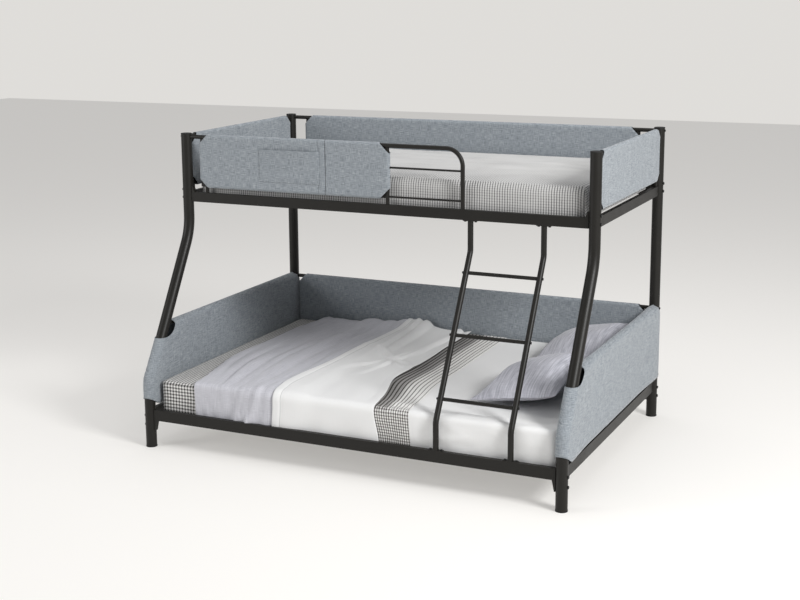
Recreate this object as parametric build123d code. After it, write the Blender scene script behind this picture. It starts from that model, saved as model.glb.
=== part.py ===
"""Low metal bunk bed: a narrow bunk over a wide one, with a slanted ladder, padded guard covers and made-up bedding.

X runs along the bed, from the foot end to the pillow end. Y runs from the ladder side to the wall side. Z is up.
The origin is on the floor, under the middle of the wide lower bunk. All sizes are in millimetres.
"""

import os
from math import atan2, cos, degrees, pi, radians, sin, tan

from build123d import *

os.makedirs("parts", exist_ok=True)

# Main frame
overall_height = 1413.0
post_diameter = 50.0
post_wall = 1.5
post_bend_radius = 250.0
slant_top_drop = 180.0
slant_bottom_z = 302.0
weld_gap = 0.2
overrun = 5.0

# Plastic caps on the open tube ends
cap_rim_diameter = 52.0
cap_rim_height = 4.0
foot_rim_height = 6.0
top_plug_depth = 8.0
foot_plug_depth = 20.0
plug_clearance = 0.2

# Bunk rails, their slat ledges and their bolted end brackets
rail_width = 20.0
rail_wall = 1.5
upper_guard_height = 276.0
upper_rail_height = 45.0
lower_rail_top_z = 178.0
lower_rail_height = 50.0
ledge_width = 20.0
ledge_thickness = 3.0
bracket_thickness = 15.0
bracket_tip_thickness = 5.0
upper_bracket_rise = 26.0
lower_bracket_drop = 48.0
upper_bolt_rise = 10.0
lower_bolt_drop = 25.0
rail_bolt_height = 18.0

# Slats and the middle beam of the wide bunk
slat_width = 30.0
slat_height = 15.0
slat_wall = 1.2
upper_slat_count = 13
lower_slat_count = 15
slat_end_gap = 2.0
upper_mattress_sink = 12.0
lower_mattress_base_z = 165.0
beam_width = 20.0
beam_height = 22.0
beam_wall = 1.5

# Guard frames
guard_tube_diameter = 19.0
guard_tube_wall = 1.2
upper_guard_drop = 16.0
lower_rear_guard_z = 540.0
lower_end_guard_z = 548.0
guard_upright_diameter = 16.0
guard_upright_wall = 1.2
guard_upright_setback = 106.0
end_upright_inset = 20.0
guard_bar_diameter = 9.0
upper_low_bar_rise = 35.0
upper_middle_bar_drop = 96.0
lower_low_tube_z = 212.0
climb_gap_width = 587.0
front_guard_end_bay = 356.0
front_guard_bend_radius = 76.0

# Ladder
ladder_setback = 550.0
ladder_pitch_x = 331.0
ladder_tube_diameter = 25.0
ladder_tube_wall = 1.5
ladder_bend_radius = 45.0
rung_diameter = 16.0
rung_wall = 1.5
rung_count = 3
top_rung_drop = 265.0
bottom_rung_rise = 210.0
ladder_plate_thickness = 3.0
ladder_plate_length = 64.0
ladder_plate_width = 20.0

# Fasteners
rail_bolt_diameter = 8.0
rail_bolt_head_diameter = 14.0
rail_bolt_head_height = 5.0
rail_bolt_grip = 9.0
small_bolt_diameter = 6.0
small_bolt_head_diameter = 11.0
small_bolt_head_height = 4.0
guard_bolt_reach = 25.0
rung_bolt_reach = 18.0
plate_screw_reach = 8.0
plate_screw_inset = 8.0
bolt_clearance = 0.2

# Fabric covers
cover_wall = 3.0
cover_slack = 1.0
cover_corner_cut = 48.0
cover_edge_radius = 6.0
upper_cover_margin = 12.0
rear_cover_overhang = 19.0
front_cover_overhang = 34.0
front_cover_right_overhang = 14.0
end_cover_post_gap = 2.0
lower_rear_cover_setback = 60.0
sleeve_slack = 0.5
sleeve_cut_z = 494.0
sleeve_cut_depth = 70.0
sleeve_front_bottom_z = 236.0
sleeve_front_bottom_length = 66.0
sleeve_corner_radius = 60.0

# Pocket on the front cover
pocket_setback = 397.0
pocket_width = 310.0
pocket_rise = 70.0
pocket_height = 148.0
pocket_room = 8.0
pocket_wall = 2.5

# Mattresses
mattress_length = 1910.0
mattress_end_gap = 25.0
mattress_height = 150.0
upper_mattress_width = 965.0
lower_mattress_width = 1338.0
upper_mattress_front_gap = 12.0
upper_mattress_rear_gap = 13.0
lower_mattress_front_gap = 22.0
lower_mattress_rear_gap = 10.0
mattress_corner_radius = 60.0
mattress_edge_radius = 22.0
soft_gap = 0.4

# Bedding on the wide bunk
drop_gap = 1.0
drape_shoulder = 14.0
bedding_drop_clearance = 4.0
bedding_rear_gap = 6.0
sheet_thickness = 9.0
cover_layer_thickness = 12.0
blanket_loft = 26.0
duvet_loft = 34.0
blanket_front_setback = 233.0
blanket_middle_setback = 140.0
blanket_rear_setback = 190.0
duvet_front_setback = 638.0
duvet_rear_setback = 700.0
band_front_setback = 676.0
band_rear_setback = 740.0
layer_gap = 1.5
drape_points = 9

# Pillows
pillow_length = 555.0
pillow_depth = 418.0
pillow_thickness = 150.0
pillow_tip_thickness = 14.0
pillow_lean = 12.0
front_pillow_head_setback = 268.0
front_pillow_side_setback = 496.0
front_pillow_turn = -5.0
rear_pillow_head_setback = 252.0
rear_pillow_side_setback = 303.0
rear_pillow_turn = 2.0

# Places worked out from the sizes above
post_spacing_x = mattress_length + 2 * mattress_end_gap + rail_width
lower_spacing_y = lower_mattress_width + lower_mattress_front_gap + lower_mattress_rear_gap + rail_width
upper_spacing_y = upper_mattress_width + upper_mattress_front_gap + upper_mattress_rear_gap + rail_width
post_radius = post_diameter / 2
left_x = -post_spacing_x / 2
right_x = post_spacing_x / 2
rear_y = lower_spacing_y / 2
lower_front_y = -lower_spacing_y / 2
upper_front_y = rear_y - upper_spacing_y
upper_rail_top_z = overall_height - upper_guard_height
upper_rail_bottom_z = upper_rail_top_z - upper_rail_height
upper_mattress_base_z = upper_rail_top_z - upper_mattress_sink
slant_top_z = upper_rail_top_z - slant_top_drop
top_rung_z = upper_rail_top_z - top_rung_drop
bottom_rung_z = lower_rail_top_z + bottom_rung_rise
rung_pitch_z = (top_rung_z - bottom_rung_z) / (rung_count - 1)
pocket_bottom_z = upper_rail_top_z + pocket_rise
upper_guard_z = overall_height - upper_guard_drop
upper_low_bar_z = upper_rail_top_z + upper_low_bar_rise
upper_middle_bar_z = upper_guard_z - upper_middle_bar_drop
guard_upright_x = right_x - guard_upright_setback
front_guard_leg_x = right_x - climb_gap_width
front_guard_middle_x = front_guard_leg_x - front_guard_end_bay
ladder_left_x = right_x - ladder_setback
lower_rail_bottom_z = lower_rail_top_z - lower_rail_height
cover_thickness = guard_tube_diameter + 2 * (cover_slack + cover_wall)
sleeve_thickness = post_diameter + 2 * (sleeve_slack + cover_wall)
slant_angle = atan2(upper_front_y - lower_front_y, slant_top_z - slant_bottom_z)
guard_radius = guard_tube_diameter / 2
upper_cover_top_z = upper_guard_z + guard_radius + cover_slack + cover_wall
upper_cover_bottom_z = upper_low_bar_z - upper_cover_margin
lower_cover_bottom_z = lower_low_tube_z - guard_radius - cover_slack - cover_wall
upper_mattress_top_z = upper_mattress_base_z + mattress_height
lower_mattress_top_z = lower_mattress_base_z + mattress_height
lower_rear_cover_half_length = right_x - lower_rear_cover_setback
lower_mattress_front_y = lower_front_y + rail_width / 2 + lower_mattress_front_gap
upper_mattress_front_y = upper_front_y + rail_width / 2 + upper_mattress_front_gap


def slanted_y(z):
    """Y of the slanted stretch's centre line of a front post, and of the ladder, at height z."""
    return upper_front_y - (slant_top_z - z) * tan(slant_angle)


def block(x0, x1, y0, y1, z0, z1):
    """Box between two corners."""
    return Pos((x0 + x1) / 2, (y0 + y1) / 2, (z0 + z1) / 2) * Box(x1 - x0, y1 - y0, z1 - z0)


def rod(start, end, diameter):
    """Solid round bar between two points."""
    line = Vector(*end) - Vector(*start)
    plane = Plane(origin=start, z_dir=line)
    return extrude(plane * Circle(diameter / 2), amount=line.length)


def tube(start, end, diameter, wall):
    """Round tube between two points, open at both ends."""
    line = Vector(*end) - Vector(*start)
    plane = Plane(origin=start, z_dir=line)
    return extrude(plane * (Circle(diameter / 2) - Circle(diameter / 2 - wall)), amount=line.length)


def bent(points, radius, diameter, wall=0.0):
    """Tube, or solid bar where wall is zero, along straight runs joined by arcs of one radius."""
    path = FilletPolyline(*points, radius=radius)
    plane = Plane(origin=points[0], z_dir=Vector(*points[1]) - Vector(*points[0]))
    section = Circle(diameter / 2)
    if wall:
        section = section - Circle(diameter / 2 - wall)
    return sweep(plane * section, path=path)


def box_tube(x0, x1, y0, y1, z0, z1, wall, along):
    """Rectangular tube between two corners, open at the ends of the axis named by along."""
    grow = overrun if along == "x" else -wall
    side = overrun if along == "y" else -wall
    hole = block(x0 - grow, x1 + grow, y0 - side, y1 + side, z0 + wall, z1 - wall)
    return block(x0, x1, y0, y1, z0, z1) - hole


def save(shape, name):
    """Writes one node."""
    export_step(shape if isinstance(shape, Compound) else Compound(children=[shape]), f"parts/{name}.step")


def group(solids):
    """Separate solids that share a node."""
    return Compound(children=[s for made in solids for s in made.solids()])


# Posts. The front pair stands forward at the wide bunk, and leans back to the narrow one.
def front_path(x, bottom, top):
    return [
        (x, lower_front_y, bottom),
        (x, lower_front_y, slant_bottom_z),
        (x, upper_front_y, slant_top_z),
        (x, upper_front_y, top),
    ]


post_top_z = overall_height - cap_rim_height
post_envelope = {}
posts = {}
for side, x in (("left", left_x), ("right", right_x)):
    path = front_path(x, foot_rim_height, post_top_z)
    posts[f"front_{side}_post"] = bent(path, post_bend_radius, post_diameter, post_wall)
    post_envelope[f"front_{side}"] = bent(path, post_bend_radius, post_diameter + 2 * weld_gap)
    rear = ((x, rear_y, foot_rim_height), (x, rear_y, post_top_z))
    posts[f"rear_{side}_post"] = tube(*rear, post_diameter, post_wall)
    post_envelope[f"rear_{side}"] = rod(*rear, post_diameter + 2 * weld_gap)

# Bolt places: outward side of a post, where the bolt lies along X
upper_bolt_heights = (upper_rail_bottom_z + rail_bolt_height, upper_rail_top_z + upper_bolt_rise)
lower_bolt_heights = (lower_rail_bottom_z + rail_bolt_height, lower_rail_bottom_z - lower_bolt_drop)
rail_bolt_places = []
for side in ("left", "right"):
    for z in upper_bolt_heights:
        rail_bolt_places.append((side, "front", upper_front_y, z))
        rail_bolt_places.append((side, "rear", rear_y, z))
    for z in lower_bolt_heights:
        rail_bolt_places.append((side, "front", lower_front_y, z))
        rail_bolt_places.append((side, "rear", rear_y, z))
guard_bolt_places = [
    ("left", "front", upper_front_y, upper_guard_z),
    ("left", "rear", rear_y, upper_guard_z),
    ("right", "rear", rear_y, upper_guard_z),
    ("left", "rear", rear_y, lower_rear_guard_z),
    ("right", "rear", rear_y, lower_rear_guard_z),
    ("left", "rear", rear_y, lower_low_tube_z),
    ("right", "rear", rear_y, lower_low_tube_z),
]


def bolt_along_x(side, y, z, diameter, head_diameter, head_height, reach):
    """Round-headed bolt with its head on the outward side of a post and its tip reach past the inward side."""
    out = -1 if side == "left" else 1
    x = left_x if side == "left" else right_x
    seat = x + out * post_radius
    shank = rod((seat, y, z), (seat - out * (post_diameter + reach), y, z), diameter)
    head = rod((seat, y, z), (seat + out * head_height, y, z), head_diameter)
    head_rim = head.edges().filter_by(GeomType.CIRCLE).sort_by(Axis.X)
    rim = head_rim[0] if side == "left" else head_rim[-1]
    return fillet(rim, head_height / 2) + shank


def clearance_hole(side, y, z, diameter, reach):
    """Cutter for the hole that a bolt along X runs in."""
    out = -1 if side == "left" else 1
    x = left_x if side == "left" else right_x
    start = x + out * (post_radius + overrun)
    end = x - out * (post_radius + reach)
    return rod((start, y, z), (end, y, z), diameter + 2 * bolt_clearance)


for side, row, y, z in rail_bolt_places:
    name = f"{row}_{side}_post"
    posts[name] = posts[name] - clearance_hole(side, y, z, rail_bolt_diameter, overrun)
for side, row, y, z in guard_bolt_places:
    name = f"{row}_{side}_post"
    posts[name] = posts[name] - clearance_hole(side, y, z, small_bolt_diameter, overrun)
for name, post in posts.items():
    save(post, name)

rail_bolts = [
    bolt_along_x(
        side, y, z, rail_bolt_diameter, rail_bolt_head_diameter, rail_bolt_head_height, rail_bolt_grip
    )
    for side, row, y, z in rail_bolt_places
]
save(group(rail_bolts), "rail_bolts")
guard_bolts = [
    bolt_along_x(
        side, y, z, small_bolt_diameter, small_bolt_head_diameter, small_bolt_head_height, guard_bolt_reach
    )
    for side, row, y, z in guard_bolt_places
]
save(group(guard_bolts), "guard_bolts")

# Caps and feet
plug_diameter = post_diameter - 2 * (post_wall + plug_clearance)
cap_solids = []
foot_solids = []
for x in (left_x, right_x):
    for top_y, foot_y in ((upper_front_y, lower_front_y), (rear_y, rear_y)):
        rim = rod((x, top_y, post_top_z), (x, top_y, overall_height), cap_rim_diameter)
        rim = fillet(rim.edges().sort_by(Axis.Z)[-1], cap_rim_height / 2)
        cap_solids.append(rim + rod((x, top_y, post_top_z - top_plug_depth), (x, top_y, post_top_z), plug_diameter))
        rim = rod((x, foot_y, 0), (x, foot_y, foot_rim_height), cap_rim_diameter)
        foot_top = (x, foot_y, foot_rim_height + foot_plug_depth)
        foot_solids.append(rim + rod((x, foot_y, foot_rim_height), foot_top, plug_diameter))
save(group(cap_solids), "post_caps")
save(group(foot_solids), "foot_caps")


# Long rails, each with a ledge for the slats, and the brackets on their ends
rail_end_x = right_x - post_radius - bracket_thickness


def long_rail(y, bottom_z, top_z):
    """Rectangular tube along X between two posts' brackets."""
    edges = (y - rail_width / 2, y + rail_width / 2)
    return box_tube(-rail_end_x, rail_end_x, *edges, bottom_z, top_z, rail_wall, "x")


def ledge(y, inward, top_z):
    """Flat bar on a rail's side, which the slats lie on. inward is +1 where they lie on the rail's +Y side."""
    edges = sorted((y + inward * rail_width / 2, y + inward * (rail_width / 2 + ledge_width)))
    return block(-rail_end_x, rail_end_x, *edges, top_z - ledge_thickness, top_z)


def rail_bracket(side, y, bottom_z, top_z, rise, drop, bolt_heights):
    """Tapered block between a post and a rail's end. Its bolts thread into it."""
    out = -1 if side == "left" else 1
    post_face = (left_x if side == "left" else right_x) - out * post_radius
    outline = [
        (post_face, bottom_z - drop),
        (post_face, top_z + rise),
        (post_face - out * bracket_tip_thickness, top_z + rise),
        (post_face - out * bracket_thickness, top_z),
        (post_face - out * bracket_thickness, bottom_z),
        (post_face - out * bracket_tip_thickness, bottom_z - drop),
    ]
    outline = [p for i, p in enumerate(outline) if i == 0 or p != outline[i - 1]]
    face = Plane.XZ * make_face(Polyline(*outline, close=True))
    body = Pos(0, y + rail_width / 2, 0) * extrude(face, amount=rail_width)
    for z in bolt_heights:
        body = body - clearance_hole(side, y, z, rail_bolt_diameter, rail_bolt_grip + 2 * bolt_clearance)
    return body


upper_ledge_z = upper_mattress_base_z - slat_height
lower_ledge_z = lower_mattress_base_z - slat_height
upper_front_rail = long_rail(upper_front_y, upper_rail_bottom_z, upper_rail_top_z)
lower_front_rail = long_rail(lower_front_y, lower_rail_bottom_z, lower_rail_top_z)
save(long_rail(rear_y, upper_rail_bottom_z, upper_rail_top_z), "upper_rear_rail")
save(long_rail(rear_y, lower_rail_bottom_z, lower_rail_top_z), "lower_rear_rail")
save(group([ledge(upper_front_y, 1, upper_ledge_z), ledge(rear_y, -1, upper_ledge_z)]), "upper_slat_ledges")
save(group([ledge(lower_front_y, 1, lower_ledge_z), ledge(rear_y, -1, lower_ledge_z)]), "lower_slat_ledges")
save(
    group(
        rail_bracket(side, y, upper_rail_bottom_z, upper_rail_top_z, upper_bracket_rise, 0, upper_bolt_heights)
        for side in ("left", "right")
        for y in (upper_front_y, rear_y)
    ),
    "upper_rail_brackets",
)
save(
    group(
        rail_bracket(side, y, lower_rail_bottom_z, lower_rail_top_z, 0, lower_bracket_drop, lower_bolt_heights)
        for side in ("left", "right")
        for y in (lower_front_y, rear_y)
    ),
    "lower_rail_brackets",
)

# End rails, welded between the posts
for side, x in (("left", left_x), ("right", right_x)):
    edges = (x - rail_width / 2, x + rail_width / 2)
    fishmouth = post_envelope[f"front_{side}"] + post_envelope[f"rear_{side}"]
    upper = box_tube(*edges, upper_front_y, rear_y, upper_rail_bottom_z, upper_rail_top_z, rail_wall, "y")
    save((upper - fishmouth).solids().sort_by(SortBy.VOLUME)[-1], f"upper_{side}_end_rail")
    lower = box_tube(*edges, lower_front_y, rear_y, lower_rail_bottom_z, lower_rail_top_z, rail_wall, "y")
    save((lower - fishmouth).solids().sort_by(SortBy.VOLUME)[-1], f"lower_{side}_end_rail")


# Slats lie on the ledges, evenly spaced between the end rails
def slats(count, front_y, top_z):
    """Row of flat tubes across a bunk."""
    inner = right_x - rail_width / 2
    pitch = 2 * inner / count
    y0 = front_y + rail_width / 2 + slat_end_gap
    y1 = rear_y - rail_width / 2 - slat_end_gap
    for i in range(count):
        x = -inner + (i + 0.5) * pitch
        yield box_tube(
            x - slat_width / 2, x + slat_width / 2, y0, y1, top_z - slat_height, top_z, slat_wall, "y"
        )


save(group(slats(upper_slat_count, upper_front_y, upper_mattress_base_z)), "upper_slats")
save(group(slats(lower_slat_count, lower_front_y, lower_mattress_base_z)), "lower_slats")
beam_end = right_x - rail_width / 2
save(
    box_tube(
        -beam_end, beam_end, -beam_width / 2, beam_width / 2,
        lower_ledge_z - beam_height, lower_ledge_z, beam_wall, "x",
    ),
    "lower_middle_beam",
)


# Guard frames
def between_posts(x0, y0, x1, y1, z, cutters):
    """Guard tube between two posts, cut to lie against them."""
    body = tube((x0, y0, z), (x1, y1, z), guard_tube_diameter, guard_tube_wall)
    for cutter in cutters:
        body = body - post_envelope[cutter]
    return body.solids().sort_by(SortBy.VOLUME)[-1]


def upright(x, y, bottom_z, tube_z, cutter):
    """Short post from a rail's top to the underside of a guard tube."""
    body = tube((x, y, bottom_z), (x, y, tube_z), guard_upright_diameter, guard_upright_wall)
    return (body - cutter).solids().sort_by(SortBy.VOLUME)[-1]


guard_seat = guard_tube_diameter + 2 * weld_gap
upright_seat = guard_upright_diameter + 2 * weld_gap


def guard_bar(start, end, z, seats):
    """Thin bar at height z, cut to lie against the round pieces at its ends."""
    body = rod((*start, z), (*end, z), guard_bar_diameter)
    for seat in seats:
        body = body - seat
    return body.solids().sort_by(SortBy.VOLUME)[-1]


# Front guard: one bent tube from the left post to its leg, two uprights and two bars
front_guard_points = [
    (left_x, upper_front_y, upper_guard_z),
    (front_guard_leg_x, upper_front_y, upper_guard_z),
    (front_guard_leg_x, upper_front_y, upper_rail_top_z),
]
front_guard = bent(front_guard_points, front_guard_bend_radius, guard_tube_diameter, guard_tube_wall)
front_guard = (front_guard - post_envelope["front_left"]).solids().sort_by(SortBy.VOLUME)[-1]
save(front_guard, "front_guard_tube")
front_guard_envelope = bent(front_guard_points, front_guard_bend_radius, guard_seat)
front_upright_places = (-guard_upright_x, front_guard_middle_x)
save(
    group(
        upright(x, upper_front_y, upper_rail_top_z, upper_guard_z, front_guard_envelope)
        for x in front_upright_places
    ),
    "front_guard_uprights",
)
front_seats = [front_guard_envelope] + [
    rod((x, upper_front_y, upper_rail_top_z), (x, upper_front_y, upper_guard_z), upright_seat)
    for x in front_upright_places
]
front_bays = ((-guard_upright_x, front_guard_middle_x), (front_guard_middle_x, front_guard_leg_x))
save(
    group(
        guard_bar((x0, upper_front_y), (x1, upper_front_y), z, front_seats)
        for x0, x1 in front_bays
        for z in (upper_low_bar_z, upper_middle_bar_z)
    ),
    "front_guard_bars",
)


rear_upright_places = (-guard_upright_x, guard_upright_x)


def rear_tube(z):
    """Guard tube between the rear posts."""
    return between_posts(left_x, rear_y, right_x, rear_y, z, ("rear_left", "rear_right"))


def rear_uprights(bottom_z, top_z):
    """Uprights of a guard frame on the wall side, from bottom_z to the tube at top_z."""
    seats = rear_tube_seat(top_z) + rear_tube_seat(bottom_z)
    return group(upright(x, rear_y, bottom_z, top_z, seats) for x in rear_upright_places)


def rear_tube_seat(z):
    return rod((left_x, rear_y, z), (right_x, rear_y, z), guard_seat)


# Upper rear guard: a tube between the posts, uprights that stand on the rail, and two bars
save(rear_tube(upper_guard_z), "upper_rear_guard_tube")
upper_seat = rear_tube_seat(upper_guard_z)
save(
    group(upright(x, rear_y, upper_rail_top_z, upper_guard_z, upper_seat) for x in rear_upright_places),
    "upper_rear_guard_uprights",
)
upper_rear_seats = [
    rod((x, rear_y, upper_rail_top_z), (x, rear_y, upper_guard_z), upright_seat) for x in rear_upright_places
]
rear_bar_ends = ((-guard_upright_x, rear_y), (guard_upright_x, rear_y))
save(
    group(guard_bar(*rear_bar_ends, z, upper_rear_seats) for z in (upper_low_bar_z, upper_middle_bar_z)),
    "upper_rear_guard_bars",
)

# Lower rear guard: two tubes between the posts, with uprights between them
save(group(rear_tube(z) for z in (lower_low_tube_z, lower_rear_guard_z)), "lower_rear_guard_tubes")
save(rear_uprights(lower_low_tube_z, lower_rear_guard_z), "lower_rear_guard_uprights")

end_upright_offset = post_radius + end_upright_inset
end_upright_places = (upper_front_y + end_upright_offset, rear_y - end_upright_offset)
end_uprights = []
end_bars = []
upper_end_tubes = []
lower_end_tubes = []
lower_end_bars = []
for side, x in (("left", left_x), ("right", right_x)):
    pair = (f"front_{side}", f"rear_{side}")
    upper_end_tubes.append(between_posts(x, upper_front_y, x, rear_y, upper_guard_z, pair))
    seat = rod((x, upper_front_y, upper_guard_z), (x, rear_y, upper_guard_z), guard_seat)
    end_uprights += [upright(x, y, upper_rail_top_z, upper_guard_z, seat) for y in end_upright_places]
    seats = [rod((x, y, upper_rail_top_z), (x, y, upper_guard_z), upright_seat) for y in end_upright_places]
    bar_ends = [(x, y) for y in end_upright_places]
    end_bars += [guard_bar(*bar_ends, z, seats) for z in (upper_low_bar_z, upper_middle_bar_z)]
    front_y = slanted_y(lower_end_guard_z)
    lower_end_tubes.append(between_posts(x, front_y, x, rear_y, lower_end_guard_z, pair))
    seats = [post_envelope[name] for name in pair]
    lower_end_bars.append(guard_bar((x, lower_front_y), (x, rear_y), lower_low_tube_z, seats))
save(group(upper_end_tubes), "upper_end_guard_tubes")
save(group(lower_end_tubes), "lower_end_guard_tubes")
save(group(end_uprights), "upper_end_guard_uprights")
save(group(end_bars), "upper_end_guard_bars")
save(group(lower_end_bars), "lower_end_guard_bars")

# Ladder
ladder_xs = (ladder_left_x, ladder_left_x + ladder_pitch_x)
ladder_bottom_z = lower_rail_top_z + ladder_plate_thickness
ladder_top_z = upper_rail_bottom_z - ladder_plate_thickness
rung_heights = [top_rung_z - i * rung_pitch_z for i in range(rung_count)]
rung_hole = small_bolt_diameter + 2 * bolt_clearance
ladder_envelopes = []
for side, x in zip(("left", "right"), ladder_xs):
    path = front_path(x, ladder_bottom_z, ladder_top_z)
    rail = bent(path, ladder_bend_radius, ladder_tube_diameter, ladder_tube_wall)
    for z in rung_heights:
        reach = ladder_tube_diameter / 2 + overrun
        rail = rail - rod((x - reach, slanted_y(z), z), (x + reach, slanted_y(z), z), rung_hole)
    save(rail, f"ladder_{side}_rail")
    ladder_envelopes.append(bent(path, ladder_bend_radius, ladder_tube_diameter + 2 * weld_gap))


def rung(z):
    """Round tube between the ladder's rails, cut to lie against both."""
    body = tube((ladder_xs[0], slanted_y(z), z), (ladder_xs[1], slanted_y(z), z), rung_diameter, rung_wall)
    for envelope in ladder_envelopes:
        body = body - envelope
    return body.solids().sort_by(SortBy.VOLUME)[-1]


def rung_bolt(x, out, z):
    """Bolt from the outward side of a ladder rail into a rung. out is the side that its head is on."""
    y = slanted_y(z)
    seat = x + out * ladder_tube_diameter / 2
    tip = x - out * (ladder_tube_diameter / 2 + rung_bolt_reach)
    head = rod((seat, y, z), (seat + out * small_bolt_head_height, y, z), small_bolt_head_diameter)
    return head + rod((seat, y, z), (tip, y, z), small_bolt_diameter)


save(group(rung(z) for z in rung_heights), "ladder_rungs")
save(
    group(rung_bolt(x, out, z) for z in rung_heights for x, out in zip(ladder_xs, (-1, 1))),
    "rung_bolts",
)

# Flat plates under and over the ladder's tube ends, screwed to the rails
plate_screw_offset = ladder_plate_length / 2 - plate_screw_inset
plates = []
screws = []
for x in ladder_xs:
    for y, z, away in ((lower_front_y, lower_rail_top_z, 1), (upper_front_y, upper_rail_bottom_z, -1)):
        far = z + away * ladder_plate_thickness
        edges = (y - ladder_plate_width / 2, y + ladder_plate_width / 2)
        plate = block(
            x - ladder_plate_length / 2, x + ladder_plate_length / 2, *edges, min(z, far), max(z, far)
        )
        for offset in (-plate_screw_offset, plate_screw_offset):
            place = x + offset
            hole = (place, y, z - away * overrun), (place, y, far + away * overrun)
            plate = plate - rod(*hole, rung_hole)
            head = rod((place, y, far), (place, y, far + away * small_bolt_head_height), small_bolt_head_diameter)
            screws.append(head + rod((place, y, far), (place, y, z - away * plate_screw_reach), small_bolt_diameter))
        plates.append(plate)
save(group(plates), "ladder_plates")
save(group(screws), "ladder_plate_screws")


# The screws pass through the walls of the two front rails
def with_screw_holes(rail, y, z, away):
    """A front rail with a clearance hole for each ladder screw."""
    for x in ladder_xs:
        for offset in (-plate_screw_offset, plate_screw_offset):
            place = x + offset
            tip = z - away * (plate_screw_reach + overrun)
            rail = rail - rod((place, y, z + away * overrun), (place, y, tip), rung_hole)
    return rail


save(with_screw_holes(upper_front_rail, upper_front_y, upper_rail_bottom_z, -1), "upper_front_rail")
save(with_screw_holes(lower_front_rail, lower_front_y, lower_rail_top_z, 1), "lower_front_rail")


# Fabric covers: each is a sleeve over a guard frame, with its corners cut off where the tubes come out
def cut_corner_outline(u0, u1, v0, v1, cut):
    """Rectangle with its four corners cut off."""
    return [
        (u0 + cut, v0), (u1 - cut, v0), (u1, v0 + cut), (u1, v1 - cut),
        (u1 - cut, v1), (u0 + cut, v1), (u0, v1 - cut), (u0, v0 + cut),
    ]


def flat_cover(u0, u1, v0, v1, place, along):
    """Hollow sleeve around a guard frame at the given place. along is the axis that the frame runs on."""
    def slab(inset, thickness):
        outline = cut_corner_outline(u0 + inset, u1 - inset, v0 + inset, v1 - inset, cover_corner_cut)
        base = Plane.XZ if along == "x" else Plane.YZ
        face = base * make_face(Polyline(*outline, close=True))
        body = extrude(face, amount=thickness / 2, both=True)
        return Pos(0, place, 0) * body if along == "x" else Pos(place, 0, 0) * body

    outer = slab(0, cover_thickness)
    long_edges = outer.edges().filter_by(lambda e: abs(e.tangent_at(0).dot(Vector(0, 0, 1))) < 0.1)
    across = Axis.Y if along == "x" else Axis.X
    rims = long_edges.filter_by(across, reverse=True)
    outer = fillet(rims, cover_edge_radius)
    return outer - slab(cover_wall, cover_thickness - 2 * cover_wall)


tube_room = guard_tube_diameter + 2 * cover_slack
upright_room = guard_upright_diameter + 2 * cover_slack
bar_room = guard_bar_diameter + 2 * cover_slack
bolt_head_room = small_bolt_head_diameter + 2 * cover_slack


def with_ways(cover, ways):
    """Cover cut clear of each tube that passes through its edges. A way is a start, an end and a diameter."""
    for way in ways:
        cover = cover - rod(*way)
    return cover.solids().sort_by(SortBy.VOLUME)[-1]


upper_bar_heights = (upper_low_bar_z, upper_middle_bar_z)
front_left_edge = -guard_upright_x - front_cover_overhang
front_right_edge = front_guard_middle_x + front_cover_right_overhang
front_cover = flat_cover(
    front_left_edge, front_right_edge, upper_cover_bottom_z, upper_cover_top_z, upper_front_y, "x"
)
front_ways = [
    ((x, upper_front_y, upper_rail_top_z), (x, upper_front_y, upper_guard_z), upright_room)
    for x in front_upright_places
]
front_ways += [
    ((-guard_upright_x, upper_front_y, z), (front_guard_leg_x, upper_front_y, z), bar_room)
    for z in upper_bar_heights
]
front_ways.append(((left_x, upper_front_y, upper_guard_z), (front_guard_leg_x, upper_front_y, upper_guard_z), tube_room))
save(with_ways(front_cover, front_ways), "front_guard_cover")


def rear_cover(half_length, bottom_z, tube_heights, upright_bottom_z, bar_heights):
    """Cover of a wall-side guard frame."""
    top_z = tube_heights[-1] + guard_radius + cover_slack + cover_wall
    ways = [((left_x, rear_y, z), (right_x, rear_y, z), tube_room) for z in tube_heights]
    ways += [
        ((x, rear_y, upright_bottom_z), (x, rear_y, tube_heights[-1]), upright_room)
        for x in rear_upright_places
    ]
    ways += [((-guard_upright_x, rear_y, z), (guard_upright_x, rear_y, z), bar_room) for z in bar_heights]
    return with_ways(flat_cover(-half_length, half_length, bottom_z, top_z, rear_y, "x"), ways)


upper_rear_half_length = guard_upright_x + rear_cover_overhang
lower_rear_tubes = (lower_low_tube_z, lower_rear_guard_z)
save(
    rear_cover(
        upper_rear_half_length, upper_cover_bottom_z, (upper_guard_z,), upper_rail_top_z, upper_bar_heights
    ),
    "upper_rear_cover",
)
save(
    rear_cover(lower_rear_cover_half_length, lower_cover_bottom_z, lower_rear_tubes, lower_low_tube_z, ()),
    "lower_rear_cover",
)


def upper_end_cover(x):
    """Cover of a narrow bunk's end frame."""
    front_edge = upper_front_y + post_radius + end_cover_post_gap
    rear_edge = rear_y - post_radius - end_cover_post_gap
    ways = [((x, upper_front_y, upper_guard_z), (x, rear_y, upper_guard_z), tube_room)]
    ways += [((x, y, upper_rail_top_z), (x, y, upper_guard_z), upright_room) for y in end_upright_places]
    ways += [((x, end_upright_places[0], z), (x, end_upright_places[1], z), bar_room) for z in upper_bar_heights]
    return with_ways(flat_cover(front_edge, rear_edge, upper_cover_bottom_z, upper_cover_top_z, x, "y"), ways)


for side, x in (("left", left_x), ("right", right_x)):
    save(upper_end_cover(x), f"upper_{side}_cover")


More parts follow.
